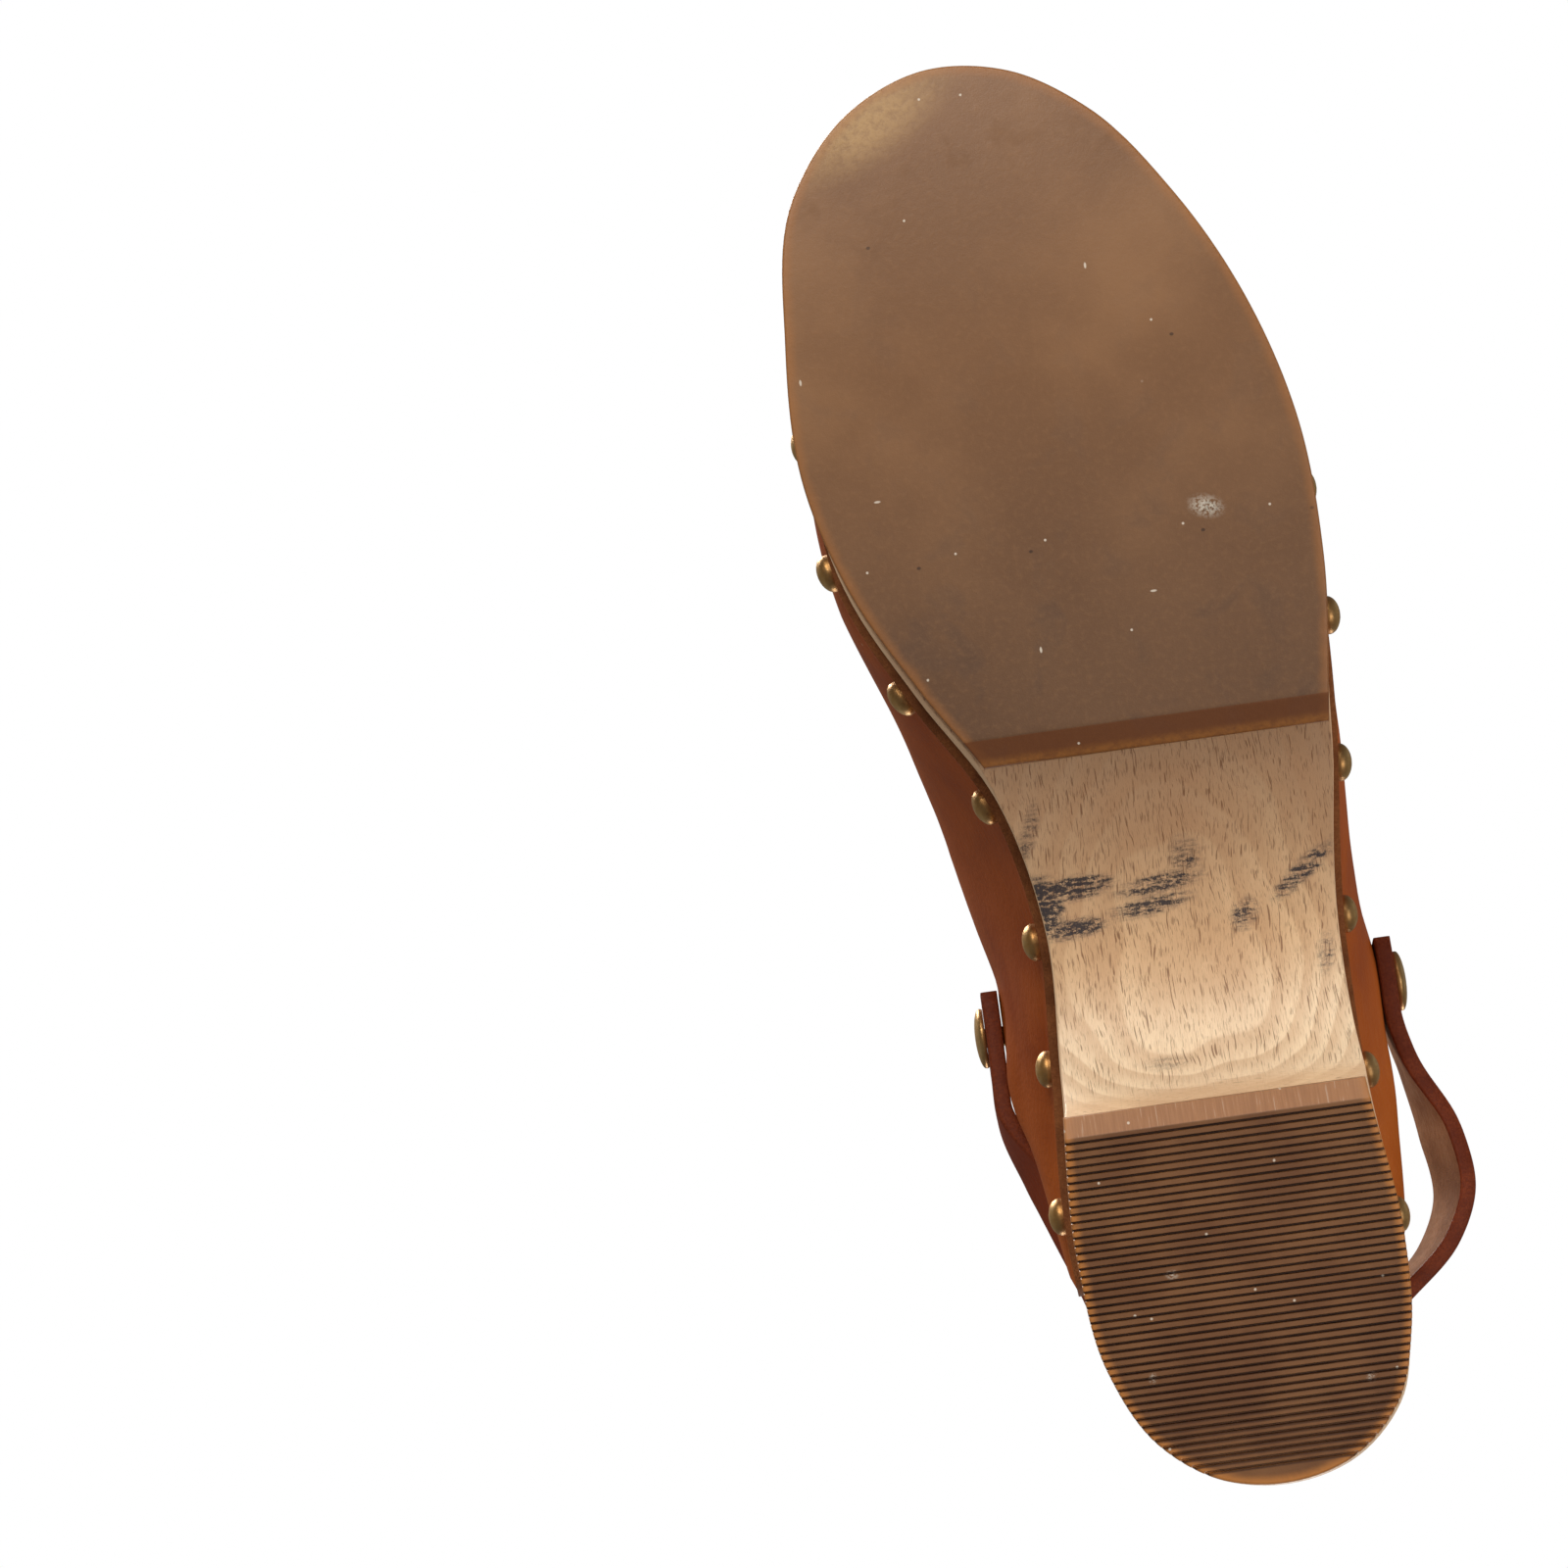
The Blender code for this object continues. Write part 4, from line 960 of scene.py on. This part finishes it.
def makeStrap():
    rivetU = rivetShape["u"]
    tail, outer, inner = rivetU + strap["tail"], strap["outer"], strap["inner"]
    path = [(tail, outer), (rivetU, outer), (rivetU - 8, outer + 0.1), *strap["path"],
            (rivetU - 8, inner - 0.1), (rivetU, inner), (tail, inner)]
    line = smoothCurve(path, 14)
    half, thick = strap["wide"] / 2, strap["thick"]
    # section: share of the half width, depth in from the outer face, and 0 grain, 1 flesh or 2 edge
    grainSide = [(-0.93, 0.0, 0), (-0.75, -0.02, 0), (-0.4, -0.08, 0), (0.0, -0.1, 0), (0.4, -0.08, 0),
                 (0.75, -0.02, 0), (0.93, 0.0, 0)]
    edge = [(0.975, 0.2, 2), (0.998, 0.6, 2), (1.0, thick / 2, 2), (0.998, thick - 0.5, 2),
            (0.98, thick - 0.1, 2)]
    fleshSide = [(share, thick, 1) for share in (0.94, 0.5, 0.0, -0.5, -0.94)]
    section = [*grainSide, *edge, *fleshSide, *[(-share, depth, kind) for share, depth, kind in edge[::-1]]]
    middles = np.array([strapSpot(u, v, 0.0) for u, v in line])
    forward = np.gradient(middles, axis=0)
    bm = bmesh.new()
    loops = []
    for i, (u, v) in enumerate(line):
        trim = half - strap["tailTaper"] * max(0.0, u - (tail - strap["tailRound"]))
        across = (strapSpot(u, v, half) - strapSpot(u, v, -half)).normalized()
        inward = across.cross(Vector(forward[i])).normalized()
        loops.append([bm.verts.new(strapSpot(u, v, share * trim) + inward * depth / 1000)
                      for share, depth, _ in section])
    count = len(section)
    for a, b in zip(loops, loops[1:]):
        for k in range(count):
            j = (k + 1) % count
            face = bm.faces.new((a[k], a[j], b[j], b[k]))
            kinds = {section[k][2], section[j][2]}
            face.material_index = 2 if 2 in kinds else kinds.pop()
    for end in (loops[0], loops[-1]):
        bm.faces.new(end).material_index = 2
    mesh = finishMesh(bm, "heelStrap")
    mesh.materials.append(grainMaterial("strapLeather", *leather["strap"]))
    mesh.materials.append(fleshMaterial("strapFlesh", *leather["strapFlesh"]))
    mesh.materials.append(cutEdgeMaterial("strapEdge", leather["paintedEdge"], 0.45, 0.1))
    return newPiece("heelStrap", mesh, "strap", "heel_strap", 60)


# Floor, lights and camera.

studio = {
    "paper": (244, 243, 240), "paperDark": (238, 237, 234), "paperHeight": -0.4, "paperHalf": 3.0,
    "floorFade": (220.0, 900.0), "worldFill": 0.34, "worldShine": 0.1,
    "lamps": [  # name, place in metres, aim, size, power, colour, whether it shines on glossy things
        ("underKey", (-0.30, -1.15, -1.15), (0, 0, 0.03), 0.9, 19.0, (255, 252, 247), True),
        ("underFill", (0.75, 0.25, -1.0), (0, 0, 0.04), 0.9, 5.0, (250, 251, 255), True),
        ("topKey", (-0.7, -0.9, 1.35), (0, 0, 0.05), 0.8, 26.0, (255, 252, 247), True),
        ("topFill", (1.1, -0.2, 0.9), (0, 0, 0.05), 0.9, 11.0, (250, 251, 255), False),
        ("topBack", (0.1, 1.3, 1.0), (0, 0, 0.05), 0.9, 12.0, (255, 255, 255), True),
    ],
    "lens": 152.7, "sensor": 36, "clip": (0.05, 20), "cameraSpot": (137.4, -40.0, -1200.0),
    "cameraAim": (137.4, -70.0, 0.0), "cameraUp": (0.139, -0.990, 0.0),
}
white = (1, 1, 1, 1)


def makeFloor():
    # pale paper seen from above only, so that the sole can be looked at from below
    bm = bmesh.new()
    bmesh.ops.create_grid(bm, x_segments=8, y_segments=8, size=studio["paperHalf"])
    for vert in bm.verts:
        vert.co.z = studio["paperHeight"] / 1000
    mesh = finishMesh(bm, "paleFloor", closed=False)
    floor = addObject("paleFloor", mesh)
    material, tree, shader, mm = startMaterial("palePaper", Specular_IOR_Level=0.2)
    wash = cloud(tree, mm, 0.004, 2.0)
    wire(tree, shader, painted(tree, studio["paper"], level(tree, wash, 0.3, 0.7), studio["paperDark"]),
         level(tree, wash, 0.3, 0.7, 0.85, 0.95))
    # its far part glows as white as the room behind it
    glow = addNode(tree, "Emission", {"Color": white, "Strength": 1.0}).outputs[0]
    far = level(tree, lengthOf(tree, mm), *studio["floorFade"])
    paper = addNode(tree, "MixShader", {0: far, 1: shader.outputs[0], 2: glow}).outputs[0]
    below = addNode(tree, "NewGeometry").outputs["Backfacing"]
    clear = addNode(tree, "BsdfTransparent").outputs[0]
    both = addNode(tree, "MixShader", {0: below, 1: paper, 2: clear}).outputs[0]
    tree.links.new(both, tree.nodes["Material Output"].inputs["Surface"])
    mesh.materials.append(material)
    for ray in ("shadow", "diffuse", "glossy", "transmission"):
        setattr(floor, "visible_" + ray, False)


def makeLights():
    for name, spot, aim, size, power, colour, shines in studio["lamps"]:
        lamp = bpy.data.lights.new(name, "AREA")
        lamp.shape = "DISK"
        lamp.size = size
        lamp.energy = power
        lamp.color = tone(*colour)[:3]
        holder = addObject(name, lamp)
        holder.location = spot
        holder.visible_glossy = shines
        holder.rotation_euler = (Vector(aim) - Vector(spot)).to_track_quat("-Z", "Y").to_euler()
    # the room is seen as white, lights the clog softly, and hardly shows in reflections
    world = bpy.data.worlds.new("paleRoom")
    world.use_nodes = True
    tree = world.node_tree
    seen = tree.nodes["Background"]
    seen.inputs["Color"].default_value = white
    fill, shine = [addNode(tree, "Background", {"Color": white, "Strength": studio[key]}).outputs[0]
                   for key in ("worldFill", "worldShine")]
    ray = addNode(tree, "LightPath").outputs
    unseen = addNode(tree, "MixShader", {0: ray["Is Glossy Ray"], 1: fill, 2: shine}).outputs[0]
    room = addNode(tree, "MixShader", {0: ray["Is Camera Ray"], 1: unseen, 2: seen.outputs[0]}).outputs[0]
    tree.links.new(room, tree.nodes["World Output"].inputs["Surface"])
    bpy.context.scene.world = world


def makeCamera():
    # the clog is seen from straight below, toe up, a little right of the middle
    data = bpy.data.cameras.new("belowCamera")
    data.lens, data.sensor_width = studio["lens"], studio["sensor"]
    data.clip_start, data.clip_end = studio["clip"]
    camera = addObject("belowCamera", data)
    spot, aim = place(*studio["cameraSpot"]), place(*studio["cameraAim"])
    back = (spot - aim).normalized()
    right = Vector(studio["cameraUp"]).cross(back).normalized()
    turned = Matrix((right, back.cross(right), back)).transposed().to_4x4()
    camera.matrix_world = Matrix.Translation(spot) @ turned
    bpy.context.scene.camera = camera
    bpy.context.scene.view_settings.view_transform = "Standard"


makeBlock()
print("clog: beech block made")
makeForefootSole()
makeHeelPiece()
print("clog: rubber treads made")
makeUpper()
makeStrap()
print("clog: leather upper and strap made")
makeNails()
makeRivets()
print("clog: nails and rivets made")
makeFloor()
makeLights()
makeCamera()
print("clog: studio made")
